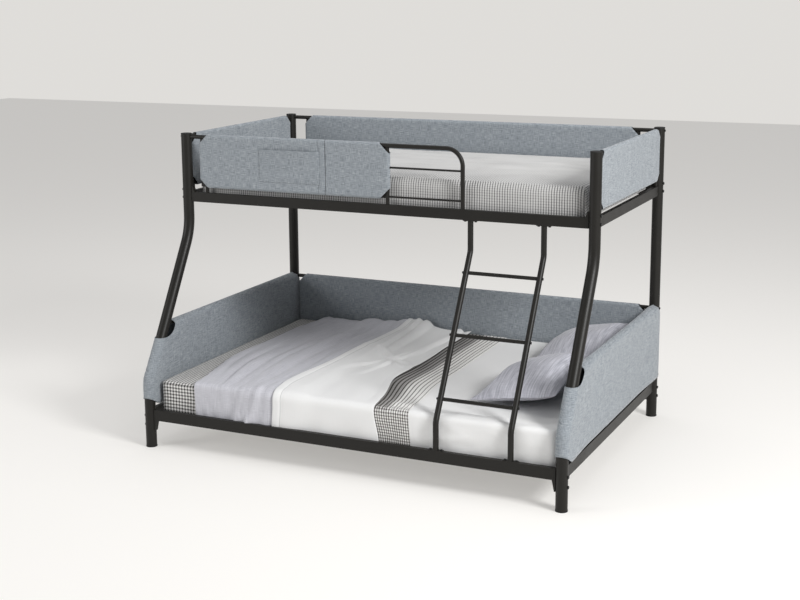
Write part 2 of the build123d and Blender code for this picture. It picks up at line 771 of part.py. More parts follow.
# End sleeves of the wide bunk: each is pulled over the end frame and wraps both posts
def sleeve_outline(inset):
    """Side view of an end sleeve, drawn in by inset. It follows the slanted front post."""
    reach = post_radius + sleeve_slack + cover_wall - inset
    lean = reach / cos(slant_angle)
    top_z = lower_end_guard_z + guard_radius + cover_slack + cover_wall - inset
    bottom_z = lower_cover_bottom_z + inset
    cut_z = sleeve_cut_z - inset
    foot_z = sleeve_front_bottom_z + inset
    front_y = lower_front_y - reach
    knee_z = slant_bottom_z - reach * tan(slant_angle / 2)
    cut_back_y = slanted_y(cut_z) + lean
    return [
        (rear_y + reach, bottom_z),
        (rear_y + reach, top_z),
        (cut_back_y + sleeve_cut_depth, top_z),
        (cut_back_y, cut_z),
        (slanted_y(cut_z) - lean, cut_z),
        (front_y, knee_z + 2 * reach * tan(slant_angle / 2)),
        (front_y, foot_z),
        (lower_front_y + sleeve_front_bottom_length, bottom_z),
    ]


def end_sleeve(x):
    """Hollow sleeve, open at the bottom and where the posts pass through its top edge."""
    def slab(inset, thickness, openings):
        points = sleeve_outline(inset)
        if openings:
            points[0] = (points[0][0], lower_cover_bottom_z - overrun)
            points[6] = (points[6][0], lower_cover_bottom_z - overrun)
            points[7] = (points[7][0], lower_cover_bottom_z - overrun)
        face = Plane.YZ * make_face(Polyline(*points, close=True))
        return Pos(x, 0, 0) * extrude(face, amount=thickness / 2, both=True)

    outer = slab(0, sleeve_thickness, False)
    corner = outer.edges().filter_by(Axis.X).sort_by(Axis.Z)[-2:].sort_by(Axis.Y)[-1]
    outer = fillet(corner, sleeve_corner_radius)
    body = outer - slab(cover_wall, sleeve_thickness - 2 * cover_wall, True)
    room = post_diameter + 2 * sleeve_slack
    body = body - bent(front_path(x, foot_rim_height, post_top_z), post_bend_radius, room)
    outside_x = x + sleeve_thickness * (1 if x > 0 else -1)
    ways = [((x, rear_y, foot_rim_height), (x, rear_y, post_top_z), room)]
    ways += [((x, rear_y, z), (-x, rear_y, z), tube_room) for z in lower_rear_tubes]
    ways += [((x, rear_y, z), (outside_x, rear_y, z), bolt_head_room) for z in lower_rear_tubes]
    return with_ways(body, ways)


for side, x in (("left", left_x), ("right", right_x)):
    save(end_sleeve(x), f"lower_{side}_cover")

# Pocket sewn to the front of the front cover, open at its top
pocket_left_x = left_x + pocket_setback
pocket_back_y = upper_front_y - cover_thickness / 2
pocket_front_y = pocket_back_y - pocket_room - pocket_wall
pocket_right_x = pocket_left_x + pocket_width
pocket_top_z = pocket_bottom_z + pocket_height
pocket = block(pocket_left_x, pocket_right_x, pocket_front_y, pocket_back_y, pocket_bottom_z, pocket_top_z)
pocket = pocket - block(
    pocket_left_x + pocket_wall, pocket_right_x - pocket_wall,
    pocket_front_y + pocket_wall, pocket_back_y + overrun,
    pocket_bottom_z + pocket_wall, pocket_top_z + overrun,
)
save(pocket, "guard_pocket")


# Mattresses: soft-edged slabs on the slats
def mattress(front_y, width, base_z):
    """Slab with rounded corners and soft edges."""
    body = block(
        -mattress_length / 2, mattress_length / 2, front_y, front_y + width,
        base_z + soft_gap, base_z + mattress_height,
    )
    body = fillet(body.edges().filter_by(Axis.Z), mattress_corner_radius)
    rims = body.edges().group_by(Axis.Z)
    return fillet(rims[0] + rims[-1], mattress_edge_radius)


save(mattress(upper_mattress_front_y, upper_mattress_width, upper_mattress_base_z), "upper_mattress")
save(mattress(lower_mattress_front_y, lower_mattress_width, lower_mattress_base_z), "lower_mattress")


# Bedding: layers that lie over the wide mattress and hang down its front face
mattress_rear_y = lower_mattress_front_y + lower_mattress_width
hang_y = lower_mattress_front_y - drop_gap
lie_z = lower_mattress_top_z + soft_gap
hem_z = lower_rail_top_z + bedding_drop_clearance
depth_shares = (0.0, 0.08, 0.18, 0.30, 0.42, 0.54, 0.66, 0.78, 0.90, 1.0)


def drape_stations():
    """Points on the mattress that a layer follows, from its hem at the front to the wall side, with outward ways."""
    shoulder = drape_shoulder
    stations = [
        ((hang_y, hem_z), (-1.0, 0.0), 0.0),
        ((hang_y, (hem_z + lie_z) / 2), (-1.0, 0.0), 0.0),
        ((hang_y, lie_z - shoulder), (-1.0, 0.0), 0.0),
        (
            (hang_y + shoulder * (1 - cos(pi / 4)), lie_z - shoulder * (1 - sin(pi / 4))),
            (-sin(pi / 4), cos(pi / 4)),
            0.0,
        ),
    ]
    length = lower_mattress_width - shoulder - bedding_rear_gap
    for share in depth_shares:
        stations.append(((hang_y + shoulder + share * length, lie_z), (0.0, 1.0), share))
    return stations


def draped_layer(left_edge, right_edge, thickness, loft_height, folds):
    """Layer between two edges, each given as X over the depth share. Its top rises by folds, from 0 to 1."""
    sections = []
    for (y, z), (out_y, out_z), share in drape_stations():
        x0, x1 = left_edge(share), right_edge(share)
        steps = [i / (drape_points - 1) for i in range(drape_points)]
        hanging = out_z == 0.0
        over = []
        for s in steps:
            rise = thickness + (0.0 if hanging else loft_height * folds(s, share))
            over.append((x0 + s * (x1 - x0), y + out_y * rise, z + out_z * rise))
        under = [(x1, y, z), (x0, y, z)]
        sections.append(Polyline(*over, *under, close=True).wire())
    return Solid.make_loft(sections, ruled=True)


def blanket_left(share):
    """Left edge of the blanket, bowed towards the foot end."""
    straight = blanket_front_setback + share * (blanket_rear_setback - blanket_front_setback)
    bow = blanket_middle_setback - (blanket_front_setback + blanket_rear_setback) / 2
    return left_x + straight + bow * 4 * share * (1 - share)


def duvet_left(share):
    """Left edge of the duvet."""
    return left_x + duvet_front_setback + share * (duvet_rear_setback - duvet_front_setback)


def band_right(share):
    """Right edge of the checked band."""
    return right_x - band_front_setback - share * (band_rear_setback - band_front_setback)


def blanket_folds(s, share):
    """Low folds that run with the depth, higher at the wall side."""
    edge = sin(pi * min(1.0, 4 * s, 4 * (1 - s)) / 2)
    wave = 0.55 + 0.35 * sin(3 * pi * s + 2 * share)
    return edge * wave * (0.25 + 0.75 * share)


def duvet_folds(s, share):
    """Soft swell with two slanting folds, higher at the wall side."""
    edge = sin(pi * min(1.0, 5 * s + 0.35, 5 * (1 - s)) / 2)
    wave = 0.60 + 0.30 * sin(4 * pi * s + 3 * share)
    return edge * wave * (0.35 + 0.65 * share)


def flat(s, share):
    return 0.0


def beside(edge, offset):
    """Edge moved along X."""
    return lambda share: edge(share) + offset


save(
    draped_layer(blanket_left, beside(duvet_left, -layer_gap), cover_layer_thickness, blanket_loft, blanket_folds),
    "blanket",
)
save(draped_layer(duvet_left, band_right, cover_layer_thickness, duvet_loft, duvet_folds), "duvet")
sheet_right_x = mattress_length / 2 - mattress_corner_radius
save(
    draped_layer(beside(band_right, layer_gap), lambda share: sheet_right_x, sheet_thickness, 0.0, flat),
    "top_sheet",
)

# Pillows: lens-shaped cross sections whose corners reach further than their sides
pillow_section_shares = ((0.0, 0.94, 0.0), (0.10, 0.985, 0.42), (0.26, 0.96, 0.80), (0.5, 0.945, 1.0))


def pillow(x, y, turn):
    """Crowned pillow that leans on the pillow end, set down on the sheet."""
    rows = list(pillow_section_shares)
    rows += [(1 - place, width, fullness) for place, width, fullness in reversed(rows[:-1])]
    wires = []
    for place, width, fullness in rows:
        half = pillow_depth / 2 * width
        swell = (pillow_tip_thickness + (pillow_thickness - pillow_tip_thickness) * fullness) / 2
        over = ThreePointArc((-half, 0), (0, swell), (half, 0))
        under = ThreePointArc((half, 0), (0, -swell), (-half, 0))
        wires.append(Pos(0, (place - 0.5) * pillow_length, 0) * (Plane.XZ * make_face([over, under])))
    body = loft(wires)
    body = Rot(0, 0, turn) * (Rot(0, -pillow_lean, 0) * body)
    floor_z = lie_z + sheet_thickness + soft_gap
    return Pos(x, y, floor_z - body.bounding_box().min.Z) * body


front_pillow_y = lower_front_y + front_pillow_side_setback
rear_pillow_y = rear_y - rear_pillow_side_setback
save(pillow(right_x - front_pillow_head_setback, front_pillow_y, front_pillow_turn), "front_pillow")
save(pillow(right_x - rear_pillow_head_setback, rear_pillow_y, rear_pillow_turn), "rear_pillow")
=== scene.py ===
# %% [markdown]
# A metal bunk bed, dressed.
# The CAD model brings every tube, rail, bolt and cap in its place, in metres. This notebook coats the metal
# and models what is soft: covers on the guard frames, mattresses, bedding and pillows.

# %% Load the frame
from math import atan2, cos, degrees, hypot, pi, radians, sin, tan

import bmesh
import bpy
from mathutils import Matrix, Vector, noise


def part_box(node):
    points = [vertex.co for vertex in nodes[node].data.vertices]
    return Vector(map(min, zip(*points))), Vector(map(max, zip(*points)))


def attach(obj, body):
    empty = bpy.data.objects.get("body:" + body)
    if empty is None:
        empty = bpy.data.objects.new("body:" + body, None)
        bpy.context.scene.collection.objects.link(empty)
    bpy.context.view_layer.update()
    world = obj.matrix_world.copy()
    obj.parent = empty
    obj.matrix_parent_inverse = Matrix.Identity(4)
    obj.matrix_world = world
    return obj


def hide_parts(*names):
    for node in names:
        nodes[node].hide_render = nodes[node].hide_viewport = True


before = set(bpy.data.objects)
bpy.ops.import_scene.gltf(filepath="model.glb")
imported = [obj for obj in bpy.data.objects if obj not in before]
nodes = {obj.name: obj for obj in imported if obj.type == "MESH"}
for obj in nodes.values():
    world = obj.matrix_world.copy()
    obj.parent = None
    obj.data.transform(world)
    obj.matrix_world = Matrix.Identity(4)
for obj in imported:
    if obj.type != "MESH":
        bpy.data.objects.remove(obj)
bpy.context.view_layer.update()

mm = 0.001

# %% [markdown]
# A picture is matched best by a camera that stands where the real one stood, here in front and to the
# right. It could be moved by eye until the outlines agree, but that drifts. This place and these turns were
# worked out from the bed's right angles instead. A lens shift keeps the framing of a cropped picture.

# %% Camera
camera_place = Vector((2.654, -5.846, 2.107))
camera_turn = radians(25.98)
camera_pitch = radians(11.27)
camera_roll = radians(-0.6)
focal_pixels = 1406.6
shift_right_pixels = 30
shift_up_pixels = -40
photo_width = 800
sensor_width = 36.0
farthest_view = 60

camera_data = bpy.data.cameras.new("camera")
camera_data.sensor_width = sensor_width
camera_data.lens = focal_pixels / photo_width * sensor_width
camera_data.shift_x = shift_right_pixels / photo_width
camera_data.shift_y = shift_up_pixels / photo_width
camera_data.clip_end = farthest_view
camera = bpy.data.objects.new("camera", camera_data)
aimed = Matrix.Rotation(camera_turn, 4, "Z") @ Matrix.Rotation(pi / 2 - camera_pitch, 4, "X")
camera.matrix_world = Matrix.Translation(camera_place) @ aimed @ Matrix.Rotation(camera_roll, 4, "Z")
bpy.context.collection.objects.link(camera)
bpy.context.scene.camera = camera
print("lens", round(camera_data.lens, 1), "mm on a sensor of", sensor_width, "mm")

# %% [markdown]
# Furniture is shown under large soft lamps. A sun lamp would be simpler but would draw a hard shadow of
# every tube. The size of an area lamp sets how soft its shadow is. The key lamp stands in front and to the
# right, so the end that faces it is brightest and the space under the narrow bunk falls into soft shade.

# %% Lamps
bed_middle = Vector((0.0, 0.0, 0.7))


def soft_lamp(name, place, size, power):
    """Square area lamp that shines from place at the middle of the bed."""
    data = bpy.data.lights.new(name, "AREA")
    data.size = size
    data.energy = power
    lamp = bpy.data.objects.new(name, data)
    aim = bed_middle - Vector(place)
    lamp.matrix_world = Matrix.Translation(place) @ aim.to_track_quat("-Z", "Y").to_matrix().to_4x4()
    bpy.context.collection.objects.link(lamp)
    print(name, "of", power, "W and", size, "m")


soft_lamp("key_lamp", (5.5, -2.3, 4.1), size=1.8, power=365)
soft_lamp("fill_lamp", (-4.6, -4.2, 2.4), size=2.0, power=95)
soft_lamp("top_lamp", (0.0, 0.2, 5.0), size=4.0, power=70)

# %% [markdown]
# Shader maths reads best as sums. Nodes can be linked one at a time, but a mask of three nodes then takes
# ten lines. Here a small class holds a socket and adds a Math node for each operator, so that 1 - mask just
# works. Every other node comes from one method.

# %% A socket that can be added and multiplied
class Wire:
    """An output socket of a node tree."""

    def __init__(self, tree, socket):
        self.tree = tree
        self.socket = socket

    def out(self, name):
        """Another output of the same node."""
        return Wire(self.tree, self.socket.node.outputs[name])

    def math(self, operation, *values):
        """Math node on numbers or wires."""
        node = self.tree.nodes.new("ShaderNodeMath")
        node.operation = operation
        for slot, value in zip(node.inputs, values):
            join(self.tree, slot, value)
        return Wire(self.tree, node.outputs[0])

    def __add__(self, other):
        return self.math("ADD", self, other)

    def __sub__(self, other):
        return self.math("SUBTRACT", self, other)

    def __rsub__(self, other):
        return self.math("SUBTRACT", other, self)

    def __mul__(self, other):
        return self.math("MULTIPLY", self, other)

    def __truediv__(self, other):
        return self.math("DIVIDE", self, other)

    __radd__ = __add__
    __rmul__ = __mul__

    def below(self, other):
        """One where the value is less than other, and nothing elsewhere."""
        return self.math("LESS_THAN", self, other)

    def stripes(self, pitch, share):
        """One on a share of each pitch, and nothing between."""
        return self.math("FRACT", self / pitch).below(share)

    def distance(self, at):
        return self.math("ABSOLUTE", self - at)

    def clamped(self):
        """Held between nothing and one."""
        return self.math("MAXIMUM", self.math("MINIMUM", self, 1.0), 0.0)

    def line(self, at, width):
        """One where the value is at, fading to nothing at width on both sides."""
        return (1.0 - self.distance(at) / width).clamped()


def join(tree, slot, value):
    """Puts a number, a colour or a wire into a socket."""
    if isinstance(value, Wire):
        tree.links.new(value.socket, slot)
    elif slot.type == "RGBA":
        slot.default_value = (*value, 1.0)
    else:
        slot.default_value = value


def mix_colours(tree, amount, first, second):
    """Colour that goes from first to second as amount goes from 0 to 1."""
    node = tree.nodes.new("ShaderNodeMix")
    node.data_type = "RGBA"
    sockets = [s for s in node.inputs if s.enabled]
    for slot, value in zip(sockets, (amount, first, second)):
        join(tree, slot, value)
    return Wire(tree, [s for s in node.outputs if s.enabled][0])


# %% A material in the making
class Finish:
    """Material with a Principled shader. Fixed sockets are given by name, varying ones are set later."""

    def __init__(self, name, **fixed):
        self.material = bpy.data.materials.new(name)
        self.material.use_nodes = True
        self.tree = self.material.node_tree
        self.shader = self.tree.nodes["Principled BSDF"]
        for socket, value in fixed.items():
            self.set(socket.replace("_", " "), value)

    def set(self, socket, value):
        join(self.tree, self.shader.inputs[socket], value)

    def node(self, kind, settings=None, **inputs):
        """First output of a new node, its settings made first and its inputs joined by name."""
        node = self.tree.nodes.new(kind)
        for key, value in (settings or {}).items():
            setattr(node, key, value)
        for socket, value in inputs.items():
            join(self.tree, node.inputs[socket.replace("_", " ")], value)
        return Wire(self.tree, node.outputs[0])

    def place(self):
        """X, Y and Z of a point, in metres."""
        parts = self.node("ShaderNodeSeparateXYZ", Vector=self.node("ShaderNodeTexCoord").out("Object"))
        return parts, parts.out("Y"), parts.out("Z")

    def cloth_place(self):
        """Across and along the cloth as it was cut, in metres, from the piece's own UV map."""
        parts = self.node("ShaderNodeSeparateXYZ", Vector=self.node("ShaderNodeUVMap", {"uv_map": "cut"}))
        return parts, parts.out("Y")

    def noise(self, x, y, z=0.0, scale=1.0, detail=2.0):
        """Soft noise at a place, whose cells are one over scale wide."""
        spot = self.node("ShaderNodeCombineXYZ", X=x, Y=y, Z=z)
        return self.node("ShaderNodeTexNoise", Vector=spot, Scale=scale, Detail=detail)

    def mix(self, amount, first, second):
        return mix_colours(self.tree, amount, first, second)

    def bump(self, height, depth):
        """Makes the surface stand out by up to depth, in metres."""
        self.set("Normal", self.node("ShaderNodeBump", Height=height, Distance=depth, Strength=1.0))


# %% [markdown]
# A real backdrop curves up and hides where the floor ends. One large plane that glows a little gives the
# same even tone. The surround is a world colour: a Light Path node tells what the camera sees from what
# lights the bed, so the background can be pale and the light modest.

# %% Floor
floor_reach = 15
floor_tone = (0.60, 0.59, 0.57)
floor_glow = (0.82, 0.80, 0.77)


def new_object(name, bm):
    """Object with the mesh that a bmesh, Blender's mesh in the making, holds."""
    mesh = bpy.data.meshes.new(name)
    bm.to_mesh(mesh)
    bm.free()
    made = bpy.data.objects.new(name, mesh)
    bpy.context.collection.objects.link(made)
    return made


bm = bmesh.new()
bmesh.ops.create_grid(bm, x_segments=1, y_segments=1, size=floor_reach)
floor = new_object("studio_floor", bm)
pale_floor = Finish(
    "pale_floor", Base_Color=floor_tone, Roughness=0.85, Emission_Color=floor_glow, Emission_Strength=0.42,
)
floor.data.materials.append(pale_floor.material)

# %% Surround
def surround(lit_by, seen):
    """World with one tone that lights the bed and another that the camera sees behind it."""
    world = bpy.data.worlds.new("surround")
    world.use_nodes = True
    bpy.context.scene.world = world
    tree = world.node_tree
    by_camera = Wire(tree, tree.nodes.new("ShaderNodeLightPath").outputs["Is Camera Ray"])
    background = tree.nodes["Background"].inputs
    join(tree, background["Color"], mix_colours(tree, by_camera, lit_by, seen))
    join(tree, background["Strength"], 1.0)


surround(lit_by=(0.34, 0.34, 0.345), seen=(0.74, 0.725, 0.70))
bpy.context.scene.view_settings.view_transform = "Standard"

# %% [markdown]
# The tubes are steel with a satin powder coat, almost black. Baked powder has a faint orange peel and an
# uneven gloss. A scanned texture could give both, but needs a UV map on every tube. Noise in the object's
# own metres needs none and keeps its size anywhere.

# %% Powder coat
patches_per_metre = 9.0
dust_per_metre = 160.0
peel_per_metre = 700.0
peel_depth = 0.12 * mm
patch_gloss = 0.16
dust_gloss = 0.10


def powder_coat(name, tone, roughness):
    finish = Finish(name, Metallic=0.0, Specular_IOR_Level=0.27)
    spot = finish.place()
    patches = finish.noise(*spot, scale=patches_per_metre, detail=4.0)
    dust = finish.noise(*spot, scale=dust_per_metre, detail=3.0)
    dusty_tone = tuple(1.5 * c + 0.002 for c in tone)
    finish.set("Base Color", finish.mix(patches * 0.7 + dust * 0.3, tone, dusty_tone))
    finish.set("Roughness", roughness + patch_gloss * (patches - 0.5) + dust_gloss * (dust - 0.5))
    finish.bump(finish.noise(*spot, scale=peel_per_metre, detail=1.0), peel_depth)
    return finish.material


steel_finish = powder_coat("powder_coated_steel", (0.0085, 0.0077, 0.0063), 0.42)
bolt_finish = powder_coat("black_bolt_steel", (0.010, 0.010, 0.010), 0.33)
cap_finish = powder_coat("moulded_black_plastic", (0.011, 0.0105, 0.010), 0.58)

# %% Coat every hard node
soft_endings = ("_cover", "_pocket", "_mattress", "_pillow", "blanket", "duvet", "_sheet")


def coat_of(name):
    """Finish of a hard node, by what the node is."""
    if "bolts" in name or "screws" in name:
        return bolt_finish
    return cap_finish if name.endswith("_caps") else steel_finish


hard_nodes = [name for name in nodes if not name.endswith(soft_endings)]
for name in hard_nodes:
    materials = nodes[name].data.materials
    materials.clear()
    materials.append(coat_of(name))
print("metal and plastic nodes", len(hard_nodes))

# %% [markdown]
# The guard covers are a heathered upholstery cloth, woven square from grey-blue threads of different tones.
# Modelled threads would take millions of faces, and a picture of cloth would repeat. Two noises, each
# stretched along one thread direction, look the same at any distance. Stitches are lines, and seams are
# lines of painted shade, both placed by their X.

# %% Heathered cover cloth
thread_pitch = 1.7 * mm
slub_length = 30 * mm
weave_contrast = 1.9
weave_depth = 0.7 * mm
clouds_per_metre = 9.0
seam_shade_width = 2.6 * mm
stitch_width = 0.9 * mm
stitch_pitch = 5.0 * mm
stitch_gap_share = 0.3


def heather(name, tone, deep, pale, stitch_lines=(), seam_shade_lines=()):
    """Upholstery cloth for upright panels. Stitch lines, and seam lines of painted shade, are the X they run
    down at.
    """
    finish = Finish(name, Roughness=0.92, Specular_IOR_Level=0.25, Sheen_Weight=0.25, Sheen_Roughness=0.5)
    x, y, z = finish.place()
    along = x + y
    weft = finish.noise(along / slub_length, z / thread_pitch, y * 3.0)
    warp = finish.noise(along / thread_pitch, z / slub_length, y * 3.0)
    clouds = finish.noise(along, z, y, scale=clouds_per_metre, detail=3.0)
    slubs = ((weft * 1.1 + warp * 0.9 - 1.0) * weave_contrast + 0.5).clamped()
    cloth = finish.mix(slubs, deep, pale)
    cloth = finish.mix(((clouds - 0.38) * 1.6).clamped() * 0.45, cloth, tone)
    height = weft * 0.5 + warp * 0.5
    for line in stitch_lines:
        row = x.distance(line).below(stitch_width)
        thread = row * (1.0 - z.stripes(stitch_pitch, stitch_gap_share))
        cloth = finish.mix(thread * 0.65, cloth, tuple(0.35 * c for c in deep))
        height = height + thread * 0.8
    # Painted shade: the cloth darkens along each seam, where its groove lies in shade.
    for line in seam_shade_lines:
        cloth = finish.mix(x.line(line, seam_shade_width) * 0.85, cloth, tuple(0.16 * c for c in deep))
    finish.set("Base Color", cloth)
    finish.bump(height, weave_depth)
    return finish.material


cover_tones = {"tone": (0.235, 0.262, 0.288), "deep": (0.135, 0.155, 0.176), "pale": (0.375, 0.405, 0.430)}
seam_x = -0.255
seam_stitch_x = -0.289
cover_finish = heather("heathered_cover_cloth", **cover_tones)
front_cover_finish = heather(
    "stitched_cover_cloth", **cover_tones, stitch_lines=(seam_stitch_x,), seam_shade_lines=(seam_x,),
)
print("seam of the front cover at X", seam_x, "and its stitches at", seam_stitch_x)

# %% [markdown]
# New pieces start as a bmesh. Edit mode has the same tools, but a bmesh needs no window and no selection.
# One helper turns it into an object that rides on a body of the bed and stands for its plain CAD solid.

# %% Helpers for pieces made from a bmesh
cut_tolerance = 1e-6


def finish_piece(name, bm, finish, stands_for=(), body="frame"):
    """Makes an object from a bmesh, smooth-shaded, riding on a body."""
    piece = new_object(name, bm)
    piece.data.materials.append(finish)
    piece.data.shade_smooth()
    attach(piece, body)
    if stands_for:
        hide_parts(*stands_for)
    return piece


def cut_across(bm, place, across):
    """Cuts every face of a bmesh by a plane at a place on an axis."""
    everything = bm.verts[:] + bm.edges[:] + bm.faces[:]
    point = Vector(across) * place
    bmesh.ops.bisect_plane(bm, geom=everything, plane_co=point, plane_no=across, dist=cut_tolerance)


def slice_up(bm, axis, low, high, step):
    """Cuts every face of a bmesh by evenly spaced planes across an axis."""
    count = max(1, round((high - low) / step))
    across = [1.0 if i == axis else 0.0 for i in range(3)]
    for i in range(1, count):
        cut_across(bm, low + (high - low) * i / count, across)


def new_verts(made):
    """Corner points among what an extrusion made."""
    return [g for g in made["geom"] if isinstance(g, bmesh.types.BMVert)]


def add_modifier(piece, name, kind, **settings):
    """Modifier with its settings."""
    modifier = piece.modifiers.new(name, kind)
    for key, value in settings.items():
        setattr(modifier, key, value)


def waver(x, y, z):
    """Smooth noise, from about -1 to 1, the same at every run."""
    return noise.noise(Vector((x, y, z)))


# %% [markdown]
# Every cover is a sleeve pulled over a guard frame, and rolls to nothing at its folded edges. A cloth
# simulation could wrap it, but would not end on the right millimetre. So each sleeve starts as one flat
# face with the cover's outline. Insets and slices divide it, an extrusion gives it two sides, and the
# distance from the folds sets its thickness.

# %% Folded edges
roll_rings = (1.0 * mm, 1.8 * mm, 3.0 * mm, 4.5 * mm, 7.0 * mm, 9.0 * mm)


def distance_to(point, start, end):
    """Distance from a point to a straight edge, all in two dimensions."""
    edge = end - start
    share = max(0.0, min(1.0, (point - start).dot(edge) / edge.length_squared))
    return (point - (start + edge * share)).length


def roll(distance, half):
    """Half thickness at a distance from a folded edge: a quarter circle that grows to half."""
    inward = min(1.0, distance / half)
    return half * (1 - (1 - inward) ** 2) ** 0.5


def panel(name, along_x, reach=0.0):
    """A CAD node as an upright panel: its corners as (along, height), its middle, half its thickness."""
    low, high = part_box(name)
    axis = 0 if along_x else 1
    near, far = low[1 - axis], high[1 - axis]
    corners = Vector((low[axis] - reach, low[2])), Vector((high[axis] + reach, high[2]))
    return (*corners, (near + far) / 2, (far - near) / 2)


def on_panel(along, height, level, along_x):
    """Place in space of a point of an upright panel."""
    return (along, level, height) if along_x else (level, along, height)


def edge_cuts(place, inward, across=(1, 0, 0)):
    """Slices beside a fold, one on each ring, so that an open end there has the fold's full roundness."""
    return [(place + inward * sum(roll_rings[: i + 1]), across) for i in range(len(roll_rings))]


# %% A sleeve from its outline
sleeve_step = 14 * mm
weld_distance = 1e-5


def sleeve_shell(outline, rolled, half_thickness, place, along_x, ripple, cuts):
    """Closed shell with an outline, given as (along, height), and rolled edges.

    rolled says of each edge, from its first corner, whether it is folded. half_thickness and ripple give
    half of the thickness and the cloth's relief at a point. cuts holds more slices: place and direction.
    """
    bm = bmesh.new()
    corners = [Vector(p) for p in outline]
    core = bm.faces.new([bm.verts.new((*c, 0.0)) for c in corners])
    for ring in roll_rings:
        bmesh.ops.inset_region(bm, faces=[core], thickness=ring, use_even_offset=True)
    for axis in range(2):
        slice_up(bm, axis, min(c[axis] for c in corners), max(c[axis] for c in corners), sleeve_step)
    for cut, across in cuts:
        cut_across(bm, cut, across)
    bmesh.ops.extrude_face_region(bm, geom=bm.faces[:], use_keep_orig=True)
    near = set(bm.verts[: len(bm.verts) // 2])
    folds = [(corners[i], corners[(i + 1) % len(corners)]) for i in range(len(corners)) if rolled[i]]
    for v in bm.verts:
        spot = Vector((v.co.x, v.co.y))
        full = half_thickness(spot)
        edge = min(distance_to(spot, *fold) for fold in folds)
        side = -1 if v in near else 1
        half = roll(edge, full) + ripple(spot, side) * min(1.0, edge / (3 * full))
        v.co = on_panel(spot.x, spot.y, place + side * half, along_x)
    bmesh.ops.remove_doubles(bm, verts=bm.verts[:], dist=weld_distance)
    bmesh.ops.recalc_face_normals(bm, faces=bm.faces[:])
    return bm


# %% [markdown]
# Cloth that is pulled over a frame is drawn in between the tubes, wanders a little, and shows strain folds
# at its corners. Sculpting would do that once. A sum of a hollow, two noises and a wave round each corner
# does it for covers of any size, and a seed makes each one different.

# %% How stretched cloth lies
cover_cut = 48 * mm
cover_sag = 2.5 * mm
cover_cloth = 0.8 * mm
strain_reach = 0.20
strain_waves = 55


def stretched(seed, low, high, sag=cover_sag):
    """Relief of a cover between two corners, as (along, height)."""
    corners = [Vector((u, v)) for u in (low.x, high.x) for v in (low.y, high.y)]

    def relief(spot, side):
        across = (spot.x - low.x) / (high.x - low.x)
        above = (spot.y - low.y) / (high.y - low.y)
        hollow = -sag * 16 * across * (1 - across) * above * (1 - above)
        drift = waver(spot.x * 3.2, spot.y * 1.3, seed + 7.0 * side)
        pull = waver(spot.x * 14.0, spot.y * 2.5, seed + 3.0 * side)
        corner = min((spot - place).length for place in corners)
        strain = sin(strain_waves * corner + 4 * drift) * max(0.0, 1 - corner / strain_reach) ** 2
        return hollow + 1.4 * mm * drift + 0.7 * mm * pull + 1.1 * mm * strain

    return relief


def as_sheet(piece, size, depth):
    add_modifier(piece, "thickness", "SOLIDIFY", thickness=cover_cloth, offset=-1.0)
    2 * (size.y + depth)


# %% [markdown]
# A straight cover has its four corners cut off, so that it clears the posts, and is open there. The front
# one also has a sewn seam, which is a groove in its relief: a real seam is two layers drawn together.

# %% Straight covers on the guard frames
seam_half_width = 5 * mm
seam_cuts = ((-1, 1.0), (-1, 0.5), (1, 0.0), (1, 0.5), (1, 1.0))
front_seams = ((seam_x, 3.2 * mm), (seam_stitch_x, 1.3 * mm))
front_cover_seed = 1.0
edge_on = 0.1


def cut_corners(low, high, cut):
    """Rectangle between two corners with its own corners cut off, as (along, height)."""
    return [
        (low.x + cut, low.y), (high.x - cut, low.y), (high.x, low.y + cut), (high.x, high.y - cut),
        (high.x - cut, high.y), (low.x + cut, high.y), (low.x, high.y - cut), (low.x, low.y + cut),
    ]


def open_corners(bm, axis, low, high):
    """Takes away the flat faces across the cut corners, where a real cover is open and shows its frame."""
    closing = []
    for face in bm.faces:
        middle = face.calc_center_median()
        from_end = min(middle[axis] - low.x, high.x - middle[axis])
        from_rim = min(middle.z - low.y, high.y - middle.z)
        on_cut = abs(from_end + from_rim - cover_cut) < 1 * mm
        if on_cut and abs(face.normal[1 - axis]) < edge_on:
            closing.append(face)
    bmesh.ops.delete(bm, geom=closing, context="FACES")


def straight_cover(name, along_x, seed, finish=cover_finish, seams=(), reach=0.0):
    """Cover of a straight guard frame, as large as its CAD node, or longer by reach at both ends."""
    low, high, place, half = panel(name, along_x, reach)
    relief = stretched(seed, low, high)

    def with_seams(spot, side):
        groove = sum(depth * max(0.0, 1 - abs(spot.x - line) / seam_half_width) for line, depth in seams)
        return relief(spot, side) - groove

    cuts = []
    for line, depth in seams:
        cuts += [(line + side * seam_half_width * share, (1, 0, 0)) for side, share in seam_cuts]
    for end, inward in ((low, 1), (high, -1)):
        cuts += edge_cuts(end.x, inward)
        cuts += edge_cuts(end.y, inward, (0, 1, 0))
    outline = cut_corners(low, high, cover_cut)
    rolled = [True, False] * 4
    bm = sleeve_shell(outline, rolled, lambda spot: half, place, along_x, with_seams, cuts)
    open_corners(bm, 0 if along_x else 1, low, high)
    piece = finish_piece(name + "_cloth", bm, finish, (name,))
    as_sheet(piece, high - low, 2 * half)


# %% [markdown]
# Where a cover's corner is cut off, a small black plate joins the top tube to the upright. It is a triangle
# of sheet, so it starts as one face of three corners and is extruded once. All sixteen are one piece.

# %% Corner webs
web_thickness = 7 * mm
web_overlap = 4 * mm
web_inset = 5 * mm


def add_web(bm, end, inward, rim, up, place, along_x):
    """Triangular plate in one cut corner, its legs running inward from the end and up from the rim."""
    corner = (end + inward * web_inset, rim + up * web_inset)
    reach = cover_cut - web_inset + web_overlap
    points = [corner, (corner[0] + inward * reach, corner[1]), (corner[0], corner[1] + up * reach)]
    face = bm.faces.new([bm.verts.new((*p, 0.0)) for p in points])
    far = new_verts(bmesh.ops.extrude_face_region(bm, geom=[face], use_keep_orig=True))
    for v in list(face.verts) + far:
        level = place + web_thickness / 2 * (1 if v in far else -1)
        v.co = on_panel(v.co.x, v.co.y, level, along_x)


